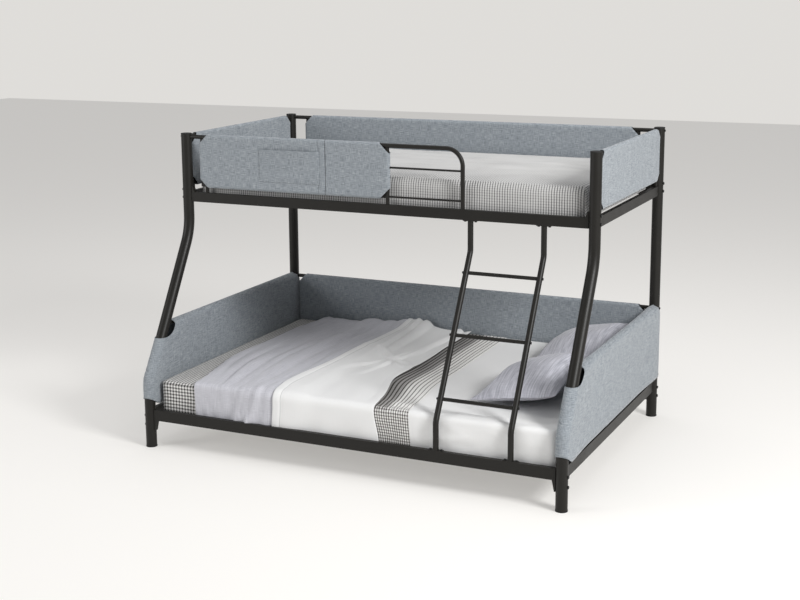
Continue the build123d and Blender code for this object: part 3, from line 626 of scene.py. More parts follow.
def corner_webs(covers):
    """The webs of some covers, as one piece. covers holds names, and whether each runs along X."""
    bm = bmesh.new()
    for name, along_x in covers:
        low, high, place, _ = panel(name, along_x)
        for end, inward in ((low.x, 1), (high.x, -1)):
            for rim, up in ((low.y, 1), (high.y, -1)):
                add_web(bm, end, inward, rim, up, place, along_x)
    bmesh.ops.recalc_face_normals(bm, faces=bm.faces[:])
    piece = finish_piece("cover_corner_webs", bm, cap_finish)
    for polygon in piece.data.polygons:
        polygon.use_smooth = False
    print("corner webs", len(piece.data.polygons) // 5)


# %% Make the straight covers and their webs
corner_webs([
    ("front_guard_cover", True), ("upper_rear_cover", True), ("upper_left_cover", False),
    ("upper_right_cover", False),
])
straight_cover(
    "front_guard_cover", True, front_cover_seed, front_cover_finish, front_seams,
)
straight_cover("upper_rear_cover", True, 2.0)
straight_cover("upper_left_cover", False, 3.0)
straight_cover("upper_right_cover", False, 4.0)
straight_cover("lower_rear_cover", True, 5.0, reach=30 * mm)

# %% [markdown]
# The end sleeves of the wide bunk are pulled down over the slanted front post and the rear post. A bite in
# the top edge lets the slanted post out. The lip round it could be modelled point by point. It is easier to
# make the sleeve whole, cut it with a tube that runs where the post runs, and take away what isn't cloth.

# %% Where the posts run
post_radius = 25 * mm
lip_room = 0.9 * mm
hole_radius = post_radius + lip_room
foot_cap_radius = 26 * mm
front_post_low_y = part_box("foot_caps")[0][1] + foot_cap_radius
rear_post_y = -front_post_low_y
front_post_high_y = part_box("upper_front_rail")[0][1] + 10 * mm
slant_low_z = 0.302
slant_high_z = 0.957
slant = atan2(front_post_high_y - front_post_low_y, slant_high_z - slant_low_z)
bend_step = 9 * mm
below_bend = 63 * mm
above_bend = 60 * mm
print("the front posts lean by", round(degrees(slant), 1), "degrees")


def slant_y(z):
    """Centre line of the slanted stretch of a front post."""
    return front_post_high_y - (slant_high_z - z) * tan(slant)


# Centre lines of the front and the rear post beside a sleeve, as (Y, Z), a little past its bottom and top
post_lines = [
    [
        (front_post_low_y, 0.15), (front_post_low_y, slant_low_z - below_bend),
        (front_post_low_y + bend_step, slant_low_z),
        (slant_y(slant_low_z + above_bend), slant_low_z + above_bend), (slant_y(0.60), 0.60),
    ],
    [(rear_post_y, 0.15), (rear_post_y, 0.40), (rear_post_y, 0.65)],
]


def axis_at(line, z):
    """How far back a post is at a height."""
    for (y, low), (next_y, high) in zip(line, line[1:]):
        if z <= high:
            return y + (next_y - y) * (z - low) / (high - low)
    return line[-1][0]


# %% A tube along a few points
def tube_along(points, radius, sides=24):
    """Closed tube as a bmesh. Each bend is as sharp as its points are."""
    bm = bmesh.new()
    ring = bmesh.ops.create_circle(bm, cap_ends=False, segments=sides, radius=radius)["verts"]
    first = Vector(points[1]) - Vector(points[0])
    turn = first.to_track_quat("Z", "Y")
    for v in ring:
        v.co = turn @ v.co + Vector(points[0])
    start_edges = list({e for v in ring for e in v.link_edges})
    edges = start_edges
    for here, there in zip(points, points[1:]):
        made = bmesh.ops.extrude_edge_only(bm, edges=edges)
        verts = new_verts(made)
        bmesh.ops.translate(bm, verts=verts, vec=Vector(there) - Vector(here))
        made_edges = [g for g in made["geom"] if isinstance(g, bmesh.types.BMEdge)]
        edges = [e for e in made_edges if all(v in verts for v in e.verts)]
    for loop in (start_edges, edges):
        bmesh.ops.edgeloop_fill(bm, edges=loop)
    bmesh.ops.recalc_face_normals(bm, faces=bm.faces[:])
    return bm


# %% Cutting a piece with a bmesh
def carve(piece, cutter):
    """Cuts a bmesh out of a piece and applies the result."""
    tool = new_object("cutter", cutter)
    add_modifier(piece, "cut", "BOOLEAN", object=tool, solver="EXACT")
    depsgraph = bpy.context.evaluated_depsgraph_get()
    cut_mesh = bpy.data.meshes.new_from_object(piece.evaluated_get(depsgraph))
    cut_mesh.name = piece.data.name
    piece.modifiers.clear()
    piece.data = cut_mesh
    bpy.data.objects.remove(tool)


# %% The outline of an end sleeve
hem_run = 66 * mm
hem_rise = 36 * mm
rear_corner = 55 * mm
bite_top_y = -0.502
bite_low_y = -0.574
bite_low_z = 0.494
bite_points = 7


def arc(centre, radius, start, end, steps):
    """Points on a circle, between two angles in degrees."""
    turns = [radians(start + (end - start) * i / steps) for i in range(steps + 1)]
    return [(centre[0] + radius * cos(t), centre[1] + radius * sin(t)) for t in turns]


def end_outline(low, high, half):
    """Corners of an end sleeve as (along, height), from the hem round the rear to the bite and the front."""
    front, bottom = low
    rear, top = high
    lean = half / cos(slant)
    knee = slant_low_z + half * tan(slant / 2)
    outline = [(front + hem_run, bottom), (rear, bottom)]
    outline += arc((rear - rear_corner, top - rear_corner), rear_corner, 0, 90, 7)
    for i in range(bite_points + 1):
        turn = pi / 2 * i / bite_points
        u = bite_top_y - (bite_top_y - bite_low_y) * (1 - cos(turn))
        outline.append((u, top - (top - bite_low_z) * sin(turn)))
    outline.append((slant_y(bite_low_z) - lean, bite_low_z))
    outline += [(front + 6 * mm, knee + 22 * mm), (front, knee - 14 * mm), (front, bottom + hem_rise)]
    return outline


def folded_edges(outline, foot_z):
    """Which edges of an end sleeve are folded: all but the bite and the hem."""
    rolled = []
    for start, end in zip(outline, outline[1:] + outline[:1]):
        in_bite = max(start[0], end[0]) < bite_top_y + 1e-4 and min(start[1], end[1]) > bite_low_z - 1e-4
        at_hem = max(start[1], end[1]) <= foot_z + 1e-6
        rolled.append(not in_bite and not at_hem)
    return rolled


# %% End sleeves
thin_share = 0.30
thinning_start = 30 * mm
thinning_run = 0.28
tight_reach = 35 * mm
loosening_run = 0.1


def from_posts(spot):
    """Distance behind the front post and in front of the rear one."""
    front_axis = slant_y(spot.y) if spot.y > slant_low_z else front_post_low_y
    return spot.x - front_axis, rear_post_y - spot.x


def only_cloth(piece, place, hem_low, hem_high):
    """Leaves a sleeve's two layers, open at the bite and the hem, with nothing round the posts inside."""
    bm = bmesh.new()
    bm.from_mesh(piece.data)
    bm.normal_update()
    extra = []
    for face in bm.faces:
        middle = face.calc_center_median()
        spot = Vector((middle.y, middle.z))
        in_bite = spot.x < bite_top_y - 0.2 * mm and spot.y > bite_low_z - 0.2 * mm
        at_hem = distance_to(spot, hem_low, hem_high) < 1 * mm
        closing = abs(face.normal.x) < edge_on and (in_bite or at_hem)
        for line in post_lines:
            spans = [hypot(v.co.x - place, v.co.y - axis_at(line, v.co.z)) for v in face.verts]
            closing = closing or all(abs(span - hole_radius) < 0.4 * mm for span in spans)
        if closing:
            extra.append(face)
    bmesh.ops.delete(bm, geom=extra, context="FACES")
    bm.to_mesh(piece.data)
    bm.free()


def end_sleeve(name, seed):
    """Sleeve over the end frame of the wide bunk, rounded where it wraps the posts."""
    low, high, place, half = panel(name, False)
    foot_z = low.y + hem_rise
    outline = end_outline(low, high, half)

    def half_thickness(spot):
        """Full at the posts, thinner in between, where the cloth hangs from a thinner tube."""
        nearest = min(max(0.0, distance) for distance in from_posts(spot))
        share = min(1.0, max(0.0, nearest - thinning_start) / thinning_run)
        smooth_share = share * share * (3 - 2 * share)
        return half * (1 - thin_share * smooth_share)

    free = stretched(seed, low, high, sag=1.5 * mm)

    def relief(spot, side):
        """Smooth round the posts, where the cloth is tight, and free in between."""
        nearest = max(0.0, min(from_posts(spot)) - tight_reach)
        return free(spot, side) * min(1.0, nearest / loosening_run)

    lip_y = slant_y(bite_low_z) - half / cos(slant)
    cuts = edge_cuts(low.x, 1) + edge_cuts(high.x, -1) + edge_cuts(lip_y, 1 / cos(slant))
    rolled = folded_edges(outline, foot_z)
    bm = sleeve_shell(outline, rolled, half_thickness, place, False, relief, cuts)
    piece = finish_piece(name + "_cloth", bm, cover_finish, (name,))
    for line in post_lines:
        carve(piece, tube_along([(place, y, z) for y, z in line], hole_radius))
    only_cloth(piece, place, Vector((low.x, foot_z)), Vector((low.x + hem_run, low.y)))
    as_sheet(piece, high - low, 2 * half)


end_sleeve("lower_left_cover", 6.0)
end_sleeve("lower_right_cover", 7.0)

# %% [markdown]
# Both mattresses wear a fitted sheet with a small check. Drawn in the object's own metres it would smear on
# the sides, so it is drawn on a map of the cloth, where the checks keep their size. Dark threads run both
# ways, so a check is a sum of two stripes.

# %% Checked bed linen
linen_depth = 0.4 * mm
# Reach, facing and strength of a painted highlight that pales the checks on top of a sheet
highlight_reach = 0.32
highlight_from_normal = 0.88
highlight_rise = 8.3


def checked(name, pitch, pale, dark, shares, strengths, uneven=0.6, painted_highlight=0.0, front=0.0):
    """Checked cloth. shares and strengths say how much of the pitch is dark both ways, and how dark.

    uneven says how much that varies, and the next argument how much the checks pale on top, from the Y
    front backwards, as a painted highlight.
    """
    finish = Finish(name, Roughness=0.88, Specular_IOR_Level=0.25, Sheen_Weight=0.15)
    u, v = finish.cloth_place()
    wander = finish.noise(u, v, scale=5.0) * (0.5 * pitch)
    warp = (u + wander).stripes(pitch, shares[0])
    weft = (v + wander).stripes(pitch, shares[1])
    fade = finish.noise(u, v, scale=3.0, detail=3.0)
    amount = (warp * strengths[0] + weft * strengths[1]) * (1.0 + uneven * (fade - 0.5))
    # Painted highlight: where the cloth faces up the checks pale, in patches, and more so further back from
    # the front.
    if painted_highlight:
        normal = finish.node("ShaderNodeNewGeometry").out("Normal")
        upward = finish.node("ShaderNodeSeparateXYZ", Vector=normal).out("Z")
        patches = finish.noise(u * 4.0, v * 7.0, 2.0)
        from_front = ((finish.place()[1] - front) / highlight_reach).clamped()
        highlight_here = ((patches - 0.5) * 1.6 + painted_highlight).clamped() * from_front
        amount = amount * (1.0 - (upward - highlight_from_normal).clamped() * highlight_rise * highlight_here)
    weave = finish.noise(u, v, scale=900.0, detail=1.0)
    finish.set("Base Color", finish.mix(amount.clamped(), pale, dark))
    finish.bump(weave + amount * 0.4, linen_depth)
    return finish.material


pale_sheet = (0.78, 0.77, 0.75)
lower_check = checked(
    "black_check", 15.5 * mm, pale_sheet, (0.035, 0.033, 0.031), shares=(0.46, 0.46), strengths=(0.56, 0.56),
)
upper_check = checked(
    "fine_grey_check", 11.5 * mm, (0.555, 0.55, 0.54), (0.09, 0.09, 0.093), shares=(0.38, 0.26),
    strengths=(0.68, 0.28), uneven=2.2, painted_highlight=0.86, front=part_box("upper_mattress")[0][1] + 20 * mm,
)

# %% [markdown]
# Plain linen is never quite plain: thick and thin threads show as streaks along it and across it. The same
# two stretched noises that made the upholstery make linen when they run along the cloth's own map.

# %% Plain bed linen
crease_shade_width = 2.4 * mm
duvet_hem = 42 * mm


def linen(name, tone, deep, streak, crossing, fine=1.0 * mm, crease=None):
    """Plain cloth. streak and crossing say how much its threads, fine wide, show lengthwise and across."""
    finish = Finish(name, Roughness=0.9, Specular_IOR_Level=0.25, Sheen_Weight=0.2)
    u, v = finish.cloth_place()
    lengthwise = finish.noise(u / fine, v * 9.0)
    crosswise = finish.noise(u * 22.0, v / fine)
    threads = (lengthwise - 0.5) * streak + (crosswise - 0.5) * crossing + 0.5
    cloth = finish.mix(threads.clamped(), deep, tone)
    # Painted shade: a dark line along the crease, where the folded hem shades the cloth.
    if crease:
        cloth = finish.mix(u.line(crease, crease_shade_width) * 0.6, cloth, tuple(0.3 * c for c in deep))
    finish.set("Base Color", cloth)
    finish.bump(lengthwise + crosswise, linen_depth)
    return finish.material


white_tones = {"tone": (0.83, 0.83, 0.825), "deep": (0.76, 0.76, 0.755), "streak": 0.6, "crossing": 0.5}
white_linen = linen("white_linen", **white_tones)
# The white cover's linen has painted shade along the crease of its hem.
hem_shaded_linen = linen("hem_shaded_white_linen", **white_tones, crease=duvet_hem)
blanket_linen = linen("grey_lavender_linen", (0.62, 0.62, 0.66), (0.44, 0.44, 0.48), 1.6, 1.3, 2.2 * mm)
pillow_linen = linen("streaked_pillow_linen", (0.60, 0.60, 0.655), (0.34, 0.345, 0.39), 2.6, 0.6, 7.0 * mm)
print("materials so far", len(bpy.data.materials))

# %% [markdown]
# A mattress is a block with soft edges. A subdivided cube would round them all alike. Here the vertical
# corners are bevelled wide and the rims tighter. The block is then sliced finely enough to take a crown,
# drawn-in sides and the shallow waves of a tight sheet.

# %% A block with soft edges
mattress_step = 26 * mm
sole_rim = 8 * mm
bevel_segments = 6


def soften(bm, edges, offset):
    """Rounds some edges of a bmesh."""
    bmesh.ops.bevel(bm, geom=edges, offset=offset, segments=bevel_segments, affect="EDGES", profile=0.5)


def rounded_block(low, high, corner, rim):
    """Block between two corners, with rounded vertical corners and rims, sliced into cells."""
    bm = bmesh.new()
    bmesh.ops.create_cube(bm, size=1.0)
    middle = (low + high) / 2
    size = high - low
    for v in bm.verts:
        v.co = middle + Vector([v.co[i] * size[i] for i in range(3)])
    soften(bm, [e for e in bm.edges if abs(e.verts[0].co.z - e.verts[1].co.z) > size.z / 2], corner)
    for level, offset in ((low.z, sole_rim), (high.z, rim)):
        soften(bm, [e for e in bm.edges if all(abs(v.co.z - level) < 1e-6 for v in e.verts)], offset)
    for axis in range(3):
        step = mattress_step if axis < 2 else 2.2 * mattress_step / 3
        slice_up(bm, axis, low[axis], high[axis], step)
    return bm


def map_block(bm, top):
    """Cloth map of a block's sheet: it runs over the top and folds down the sides."""
    cut = bm.loops.layers.uv.new("cut")
    for face in bm.faces:
        n = face.normal
        at_end = abs(n.x) > max(abs(n.y), abs(n.z))
        for loop in face.loops:
            x, y, z = loop.vert.co
            down = top - z
            if at_end:
                loop[cut].uv = (x + (down if n.x > 0 else -down), y)
            else:
                loop[cut].uv = (x, y + (down if n.y > 0 else -down))


# %% Mattresses
side_hollow = 2.2 * mm
side_pull = 1.4 * mm
top_lift = 0.9


def mattress(name, finish, body, seed, corner, rim, crown, waves, sag=0.0):
    """Mattress in its sheet, as large as its CAD node. sag lowers its front right corner."""
    low, high = (Vector(corner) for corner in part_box(name))
    bm = rounded_block(low, high, corner, rim)
    bm.normal_update()
    map_block(bm, high.z)
    normals = {v: v.normal.copy() for v in bm.verts}
    for v in bm.verts:
        x, y, z = v.co
        across = 2 * (x - low.x) / (high.x - low.x) - 1
        deep = 2 * (y - low.y) / (high.y - low.y) - 1
        lift = (z - low.z) / (high.z - low.z)
        from_rim = min(1 - abs(across), (1 - abs(deep)) * (high.y - low.y) / (high.x - low.x))
        soft = waver(x * 6.0, y * 6.0, seed)
        fine = waver(x * 3.2, y * 16.0, seed + z * 12.0)
        pulled = waver(x * 34.0, seed, z * 3.0)
        if lift > top_lift:
            v.co.z += crown * (min(1.0, from_rim * 2.5) - 1) - waves * (0.8 + 0.5 * soft + 0.9 * fine)
            v.co.z -= sag * max(0.0, (across - 0.55) / 0.45) ** 1.6 * max(0.0, -deep) ** 0.7
        side = 1 - abs(2 * lift - 1)
        v.co -= normals[v] * (side_hollow * side + side_pull * (1 + pulled) * (lift > 0.02))
    piece = finish_piece(name + "_in_sheet", bm, finish, (name,), body)
    print(piece.name, [round(side, 3) for side in high - low])
    return piece


lower_sheeted = mattress(
    "lower_mattress", lower_check, "frame", 2.0, corner=28 * mm, rim=22 * mm, crown=5 * mm, waves=1.2 * mm,
)
mattress(
    "upper_mattress", upper_check, "upper_mattress", 5.0, corner=66 * mm, rim=58 * mm, crown=10 * mm,
    waves=6.5 * mm, sag=8 * mm,
)

# %% [markdown]
# The bedding lies on the lower mattress and hangs down its front. A cloth simulation would find its own
# folds, not the ones in the picture. So each cloth starts flat and is laid along one path: up the drop,
# round a shoulder and over the top. Its folds are raised square to that path.

# %% The path that the bedding follows
drop_y = -0.6665
lie_z = 0.3185
hem_z = 0.1668
top_end_y = 0.655
shoulder = 16 * mm
hang_length = lie_z - shoulder - hem_z
turn_length = shoulder * pi / 2
cloth_length = hang_length + turn_length + top_end_y - drop_y - shoulder
corner_x = 0.925
corner_round = 30 * mm
print("cloths hang", round(hang_length, 3), "m down and are", round(cloth_length, 3), "m long")


def path(along):
    """Place and outward direction, as (Y, Z), at a distance up the drop and over the top."""
    if along < hang_length:
        return (drop_y, hem_z + along), (-1.0, 0.0)
    angle = (along - hang_length) / shoulder
    if angle < pi / 2:
        y = drop_y + shoulder * (1 - cos(angle))
        return (y, lie_z - shoulder + shoulder * sin(angle)), (-cos(angle), sin(angle))
    return (drop_y + shoulder + (along - hang_length - turn_length), lie_z), (0.0, 1.0)


# %% Shapes that folds are made of
def step_up(share, place, width):
    """Goes from 0 to 1 round a place."""
    t = max(0.0, min(1.0, (share - place) / width + 0.5))
    return t * t * (3 - 2 * t)


def fold(share, centre, spread):
    """Smooth hump of height one."""
    return max(0.0, 1 - ((share - centre) / spread) ** 2) ** 2


def billow(share, centre, spread):
    """Round hump of height one with creases at its feet, as a fold of heavy cloth has."""
    return max(0.0, 1 - ((share - centre) / spread) ** 2) ** 0.8


# %% Long edges of a cloth
def between(stops, share):
    """Value of a table of (share, value) at a share, joined smoothly."""
    for (s0, v0), (s1, v1) in zip(stops, stops[1:]):
        if share <= s1:
            t = max(0.0, (share - s0) / (s1 - s0))
            return v0 + (v1 - v0) * t * t * (3 - 2 * t)
    return stops[-1][1]


def cloth_edge(stops, wave=0.0, seed=0.0):
    """Edge that goes through the X of some stops, by share of the length, and wanders by up to wave."""
    def edge(along):
        return between(stops, along / cloth_length) + wave * waver(along * 4.0, seed, 0.0)

    return edge


# %% Laying a flat cloth
cloth_step = 11 * mm


def flat_cloth(width, length, step=cloth_step):
    """Flat grid of a cloth, with its cloth map, and where each of its corner points is on it."""
    bm = bmesh.new()
    bmesh.ops.create_grid(bm, x_segments=round(width / step), y_segments=round(length / step), size=0.5)
    cut = bm.loops.layers.uv.new("cut")
    flat = {v: ((v.co.x + 0.5) * width, (v.co.y + 0.5) * length) for v in bm.verts}
    for face in bm.faces:
        for loop in face.loops:
            loop[cut].uv = flat[loop.vert]
    return bm, flat


def laid_cloth(width, left, right, relief, lift):
    """Cloth along the path, between two long edges, raised by a relief. It rounds the mattress's corner."""
    bm, flat = flat_cloth(width, cloth_length)
    for v, (across, along) in flat.items():
        share = across / width
        (y, z), (out_y, out_z) = path(along)
        rise = lift + relief(share, along)
        x = left(along) + (right(along) - left(along)) * share
        beyond = max(0.0, x - corner_x)
        inward = corner_round - (corner_round**2 - beyond**2) ** 0.5
        v.co = (x, y + inward * (along < hang_length + turn_length) + out_y * rise, z + out_z * rise)
    return bm


def area_of(bm):
    return sum(face.calc_area() for face in bm.faces)


def cloth_piece(name, bm, finish, thickness, stands_for):
    """Turns a laid cloth into a piece with a thickness."""
    print(name, round(area_of(bm), 3), "square metres")
    bmesh.ops.recalc_face_normals(bm, faces=bm.faces[:])
    piece = finish_piece(name, bm, finish, (stands_for,))
    add_modifier(piece, "thickness", "SOLIDIFY", thickness=thickness, offset=0.0)
    add_modifier(piece, "smooth", "SUBSURF", levels=1, render_levels=1)
    return piece


# %% [markdown]
# The blanket is heavy and lies over the foot of the bed, so its folds are long and round. Near the front
# edge one layer lies over another on a diagonal, and the hem is crumpled. A picture could drive the relief,
# but as a sum each fold is one term, which can be moved or dropped without touching the others.

# %% Blanket
blanket_width = 0.60
blanket_left = ((0.0, -0.757), (0.10, -0.765), (0.45, -0.842), (0.8, -0.830), (1.0, -0.795))
blanket_right = ((0.0, -0.262), (1.0, -0.205))
# Each long fold: its share of the width at the front and at the rear, its spread, its height
blanket_folds = (
    (0.05, 0.03, 0.05, 9 * mm), (0.17, 0.10, 0.06, 12 * mm), (0.31, 0.21, 0.07, 21 * mm),
    (0.44, 0.33, 0.05, 11 * mm), (0.53, 0.49, 0.08, 27 * mm), (0.66, 0.66, 0.06, 14 * mm),
    (0.78, 0.80, 0.07, 22 * mm), (0.92, 0.93, 0.06, 10 * mm),
)


def long_folds(share, along, drift):
    """Folds along the blanket, low on the drop and full on the mattress."""
    run = along / cloth_length
    on_top = 0.15 + 0.85 * step_up(along, hang_length + 0.06, 0.16)
    rise = 0.0
    for front, rear, spread, height in blanket_folds:
        centre = front + (rear - front) * run + 0.05 * drift
        strength = 0.75 + 0.75 * waver(front * 40.0, along * 2.4, 1.0)
        width = spread * (0.75 + 0.5 * run)
        rise += height * on_top * min(1.0, max(0.2, strength)) * billow(share, centre, width)
    return rise


def diagonal_folds(share, along):
    """Upper layer, the tuck beside it and a second fold, all across the front edge, and a crumpled hem."""
    over = step_up(share, 0.47 + 0.55 * along, 0.02) * (1 - step_up(along, 0.26, 0.14))
    tuck = step_up(0.47 + 0.55 * along, share, 0.02) * fold(share, 0.44 + 0.55 * along, 0.09)
    tuck = tuck * (1 - step_up(along, 0.18, 0.14))
    second = fold(share, 0.57 + 0.7 * along, 0.05) * (1 - step_up(along, 0.20, 0.16))
    crumple = abs(waver(share * 26.0, along * 16.0, 33.0)) * fold(share, 0.52, 0.16)
    crumple = crumple * (1 - step_up(along, 0.05, 0.08))
    return 13 * mm * over + 11 * mm * tuck + 9 * mm * second + 22 * mm * crumple


def blanket_relief(share, along):
    """All that rises on the blanket, kept low where the white cover lies over it."""
    drift = waver(share * 2.0, along * 2.0, 3.0)
    rise = 2.2 * mm * (1 + waver(share * 9.0, along * 4.5, 8.0))
    rise += long_folds(share, along, drift) + diagonal_folds(share, along)
    rise += 24 * mm * step_up(along / cloth_length, 0.93, 0.14) * fold(share, 0.75, 0.55)
    ruffle = sin(share * 46.0 + 6 * drift) * (1 - step_up(along, 0.045, 0.07))
    rise += 2.5 * mm * (1 + ruffle) * (1 - step_up(along, 0.05, 0.1))
    under_cover = step_up(share, 0.83, 0.10) * (1 - step_up(along, hang_length + 0.10, 0.15))
    return rise * (1 - 0.7 * under_cover)


bm = laid_cloth(
    blanket_width, cloth_edge(blanket_left, 8 * mm, 4.0), cloth_edge(blanket_right, 2 * mm, 9.0),
    blanket_relief, 1.5 * mm,
)
blanket_cloth = cloth_piece("blanket_cloth", bm, blanket_linen, 2.6 * mm, "blanket")

# %% [markdown]
# The white cover lies over the blanket's edge, its left hem folded double. Wrinkles run together where it
# was pulled flat. They could be sculpted, but a table of angles and bends gives ridges that stay sharp and
# can be retuned one at a time.

# %% Wrinkles that run to the pull point
duvet_width = 0.535
pull_point = Vector((0.62 * duvet_width, 0.80))
# Each wrinkle: the angle it comes from, its bend, its length, its width, its height
pull_wrinkles = (
    (-158, 0.5, 0.34, 0.018, 17 * mm), (-125, 0.3, 0.30, 0.016, 14 * mm), (-88, -0.4, 0.34, 0.020, 19 * mm),
    (-45, 0.5, 0.26, 0.016, 14 * mm), (12, -0.5, 0.22, 0.016, 12 * mm), (58, 0.6, 0.36, 0.020, 20 * mm),
    (92, -0.3, 0.42, 0.022, 23 * mm), (124, 0.5, 0.40, 0.020, 21 * mm), (160, -0.5, 0.34, 0.018, 17 * mm),
)


def wrinkle(spot, angle, bend, reach, width, height):
    """Ridge that starts at the pull point, curves away and dies out."""
    away = spot - pull_point
    distance = away.length
    if distance < 1e-6 or distance > reach:
        return 0.0
    off = atan2(away.y, away.x) - radians(angle) - bend * distance / reach
    off = (off + pi) % (2 * pi) - pi
    if abs(off) > pi / 2:
        return 0.0
    side = distance * abs(off)
    spread = width * (0.8 + 1.4 * distance / reach)
    rise_and_fall = min(1.0, distance / 0.05) * (1 - distance / reach)
    return height * rise_and_fall * max(0.0, 1 - (side / spread) ** 2) ** 0.9


# %% White cover
duvet_left = ((0.0, -0.352), (0.08, -0.345), (0.5, -0.318), (1.0, -0.290))
duvet_right = ((0.0, 0.169), (0.11, 0.145), (0.39, 0.058), (0.56, 0.072), (1.0, 0.060))
# Each long billow towards the rear: its share of the width, its spread, its height
duvet_billows = ((0.22, 0.05, 10 * mm), (0.36, 0.06, 15 * mm), (0.78, 0.07, 15 * mm))
hem_step = 4 * mm
hem_groove = 7 * mm


def duvet_relief(share, along):
    """Soft waves, wrinkles and billows, raised over the blanket, with a double hem at the left edge."""
    run = along / cloth_length
    on_top = step_up(along, hang_length + 0.05, 0.12)
    from_left = share * duvet_width
    from_right = (1 - share) * duvet_width
    spot = Vector((from_left, along))
    rise = 8 * mm * on_top * (0.8 + 0.7 * waver(share * 2.2, along * 2.0, 12.0))
    rise += 4 * mm * waver(share * 6.0, along * 3.8, 2.0) * (0.3 + 0.7 * on_top)
    rise += max(wrinkle(spot, *row) for row in pull_wrinkles)
    drift = waver(share * 2.0, along * 2.6, 15.0)
    for centre, spread, height in duvet_billows:
        rise += height * step_up(run, 0.66, 0.4) * billow(share, centre + 0.10 * drift, spread)
    over_blanket = 1 - step_up(from_left, 0.17, 0.12)
    rise = max(rise, 2 * mm) + (9 * mm + 11 * mm * on_top) * over_blanket
    rise += 3.0 * mm * step_up(duvet_hem, from_left, hem_step)
    rise -= 3.4 * mm * max(0.0, 1 - abs(from_left - duvet_hem) / hem_groove)
    rise += 8 * mm * max(0.0, 1 - from_right / 0.05) ** 0.5 * on_top
    rise += 20 * mm * step_up(run, 0.95, 0.12) * fold(share, 0.05, 0.7)
    sway = 2.5 * mm * sin(share * 15.0) * (1 - step_up(along, 0.06, 0.1))
    return rise + sway + 3 * mm * (1 - on_top)


duvet_edge = cloth_edge(duvet_right, 6 * mm, 31.0)
bm = laid_cloth(duvet_width, cloth_edge(duvet_left, 3 * mm, 21.0), duvet_edge, duvet_relief, 6 * mm)
duvet_area = area_of(bm)
duvet_cloth = cloth_piece("duvet_cloth", bm, hem_shaded_linen, 4.0 * mm, "duvet")

# %% [markdown]
# The head end shows a plain white sheet, pulled almost flat. A flat plane would look like paper, so it gets
# two ridges just past the edge, a slack belly on the drop and faint creases that noise alone draws.

# %% Top sheet
sheet_width = 0.77
sheet_left_x = 0.185
sheet_right_x = 0.953


def sheet_relief(share, along):
    """Ridges just past the edge, a belly and creases on the drop, and a faint drag over all of it."""
    soft = waver(share * 3.2, along * 2.4, 60.0)
    drag = waver(share * 12.0, along * 1.5, 70.0)
    slack = waver(share * 8.0 + along * 5.0, along * 10.0, 80.0)
    ridge = fold(along, hang_length + 0.085 + 0.03 * soft, 0.03) * (0.4 + 0.6 * fold(share, 0.45, 0.5))
    second = fold(along, hang_length + 0.20 + 0.10 * share, 0.04) * fold(share, 0.35, 0.25)
    belly = fold(along, 0.06, 0.09) * (0.6 + 0.6 * soft)
    swag = billow(along, hang_length * (0.25 + 0.5 * share), 0.02) * fold(share, 0.38, 0.3)
    crumple = billow(along, hang_length + 0.15 + 0.12 * share, 0.022) * fold(share, 0.55, 0.25)
    crease = max(0.0, 0.35 - abs(slack)) / 0.35 * (1 - step_up(along, hang_length + 0.03, 0.04))
    rise = 2.2 * mm * crease + 1.4 * mm * (1 + soft) + 1.0 * mm * (1 + drag)
    return rise + 6 * mm * ridge + 5 * mm * second + 3 * mm * belly + 3 * mm * swag + 6 * mm * crumple


sheet_left = cloth_edge(((1.0, sheet_left_x),))
sheet_right = cloth_edge(((1.0, sheet_right_x),), 2 * mm, 61.0)
bm = laid_cloth(sheet_width, sheet_left, sheet_right, sheet_relief, 0.5 * mm)
sheet_cloth = cloth_piece("top_sheet_cloth", bm, white_linen, 1.6 * mm, "top_sheet")

# %% [markdown]
# A band in two patterns is sewn under the white cover's right edge. On the drop it shows its checks, and on
# top only the lengthwise threads are seen. Two materials would leave a hard line, so one material fades from
# checks to stripes along the cloth's own map.

# %% Checked band
band_width = 0.215
band_tuck = 30 * mm
band_right = ((0.0, 0.314), (0.11, 0.302), (0.39, 0.262), (1.0, 0.252))
check_pitch = 12.5 * mm
line_pitch = 19 * mm
band_ink = (0.060, 0.054, 0.050)


def striped_band():
    """Checked on the drop and striped on top, with the densest stripes beside the white cover."""
    finish = Finish("checked_band", Roughness=0.88, Specular_IOR_Level=0.25)
    u, v = finish.cloth_place()
    wander = finish.noise(u * 6.0, v * 3.0) * 9 * mm
    warp = (u + wander).stripes(check_pitch, 0.45)
    weft = (v + wander).stripes(check_pitch, 0.42)
    lines = (u + wander).stripes(line_pitch, 0.16 + 0.34 * (1.0 - (u / band_width)))
    dense = (1.0 - (u - 0.085) / 0.03).clamped()
    threads = finish.noise(u * 300.0, v * 6.0)
    on_drop = (1.0 - (v - hang_length) / 0.05).clamped()
    checks = warp * 0.75 + weft * 0.55
    stripes = lines * 0.85 + dense * (0.42 + 0.4 * threads)
    amount = checks * on_drop + stripes * (1.0 - on_drop)
    finish.set("Base Color", finish.mix(amount.clamped(), pale_sheet, band_ink))
    finish.bump(amount, linen_depth)
    return finish.material


band_edge = cloth_edge(band_right, 3 * mm, 50.0)


def band_left(along):
    """The band starts under the edge of the white cover."""
    return duvet_edge(along) - band_tuck


def band_relief(share, along):
    """The band lies on the sheet and follows what rises there."""
    x = band_left(along) + (band_edge(along) - band_left(along)) * share
    below = sheet_relief(max(0.0, x - sheet_left_x) / sheet_width, along)
    wave = waver(share * 3.0, along * 3.0, 40.0)
    groove = sin(share * 30.0 + 2 * wave) * 0.8 * mm
    return below + 2.4 * mm + 1.2 * mm * wave + groove


bm = laid_cloth(band_width, band_left, band_edge, band_relief, 1.6 * mm)
band_cloth = cloth_piece("check_band_cloth", bm, striped_band(), 2.0 * mm, "duvet")

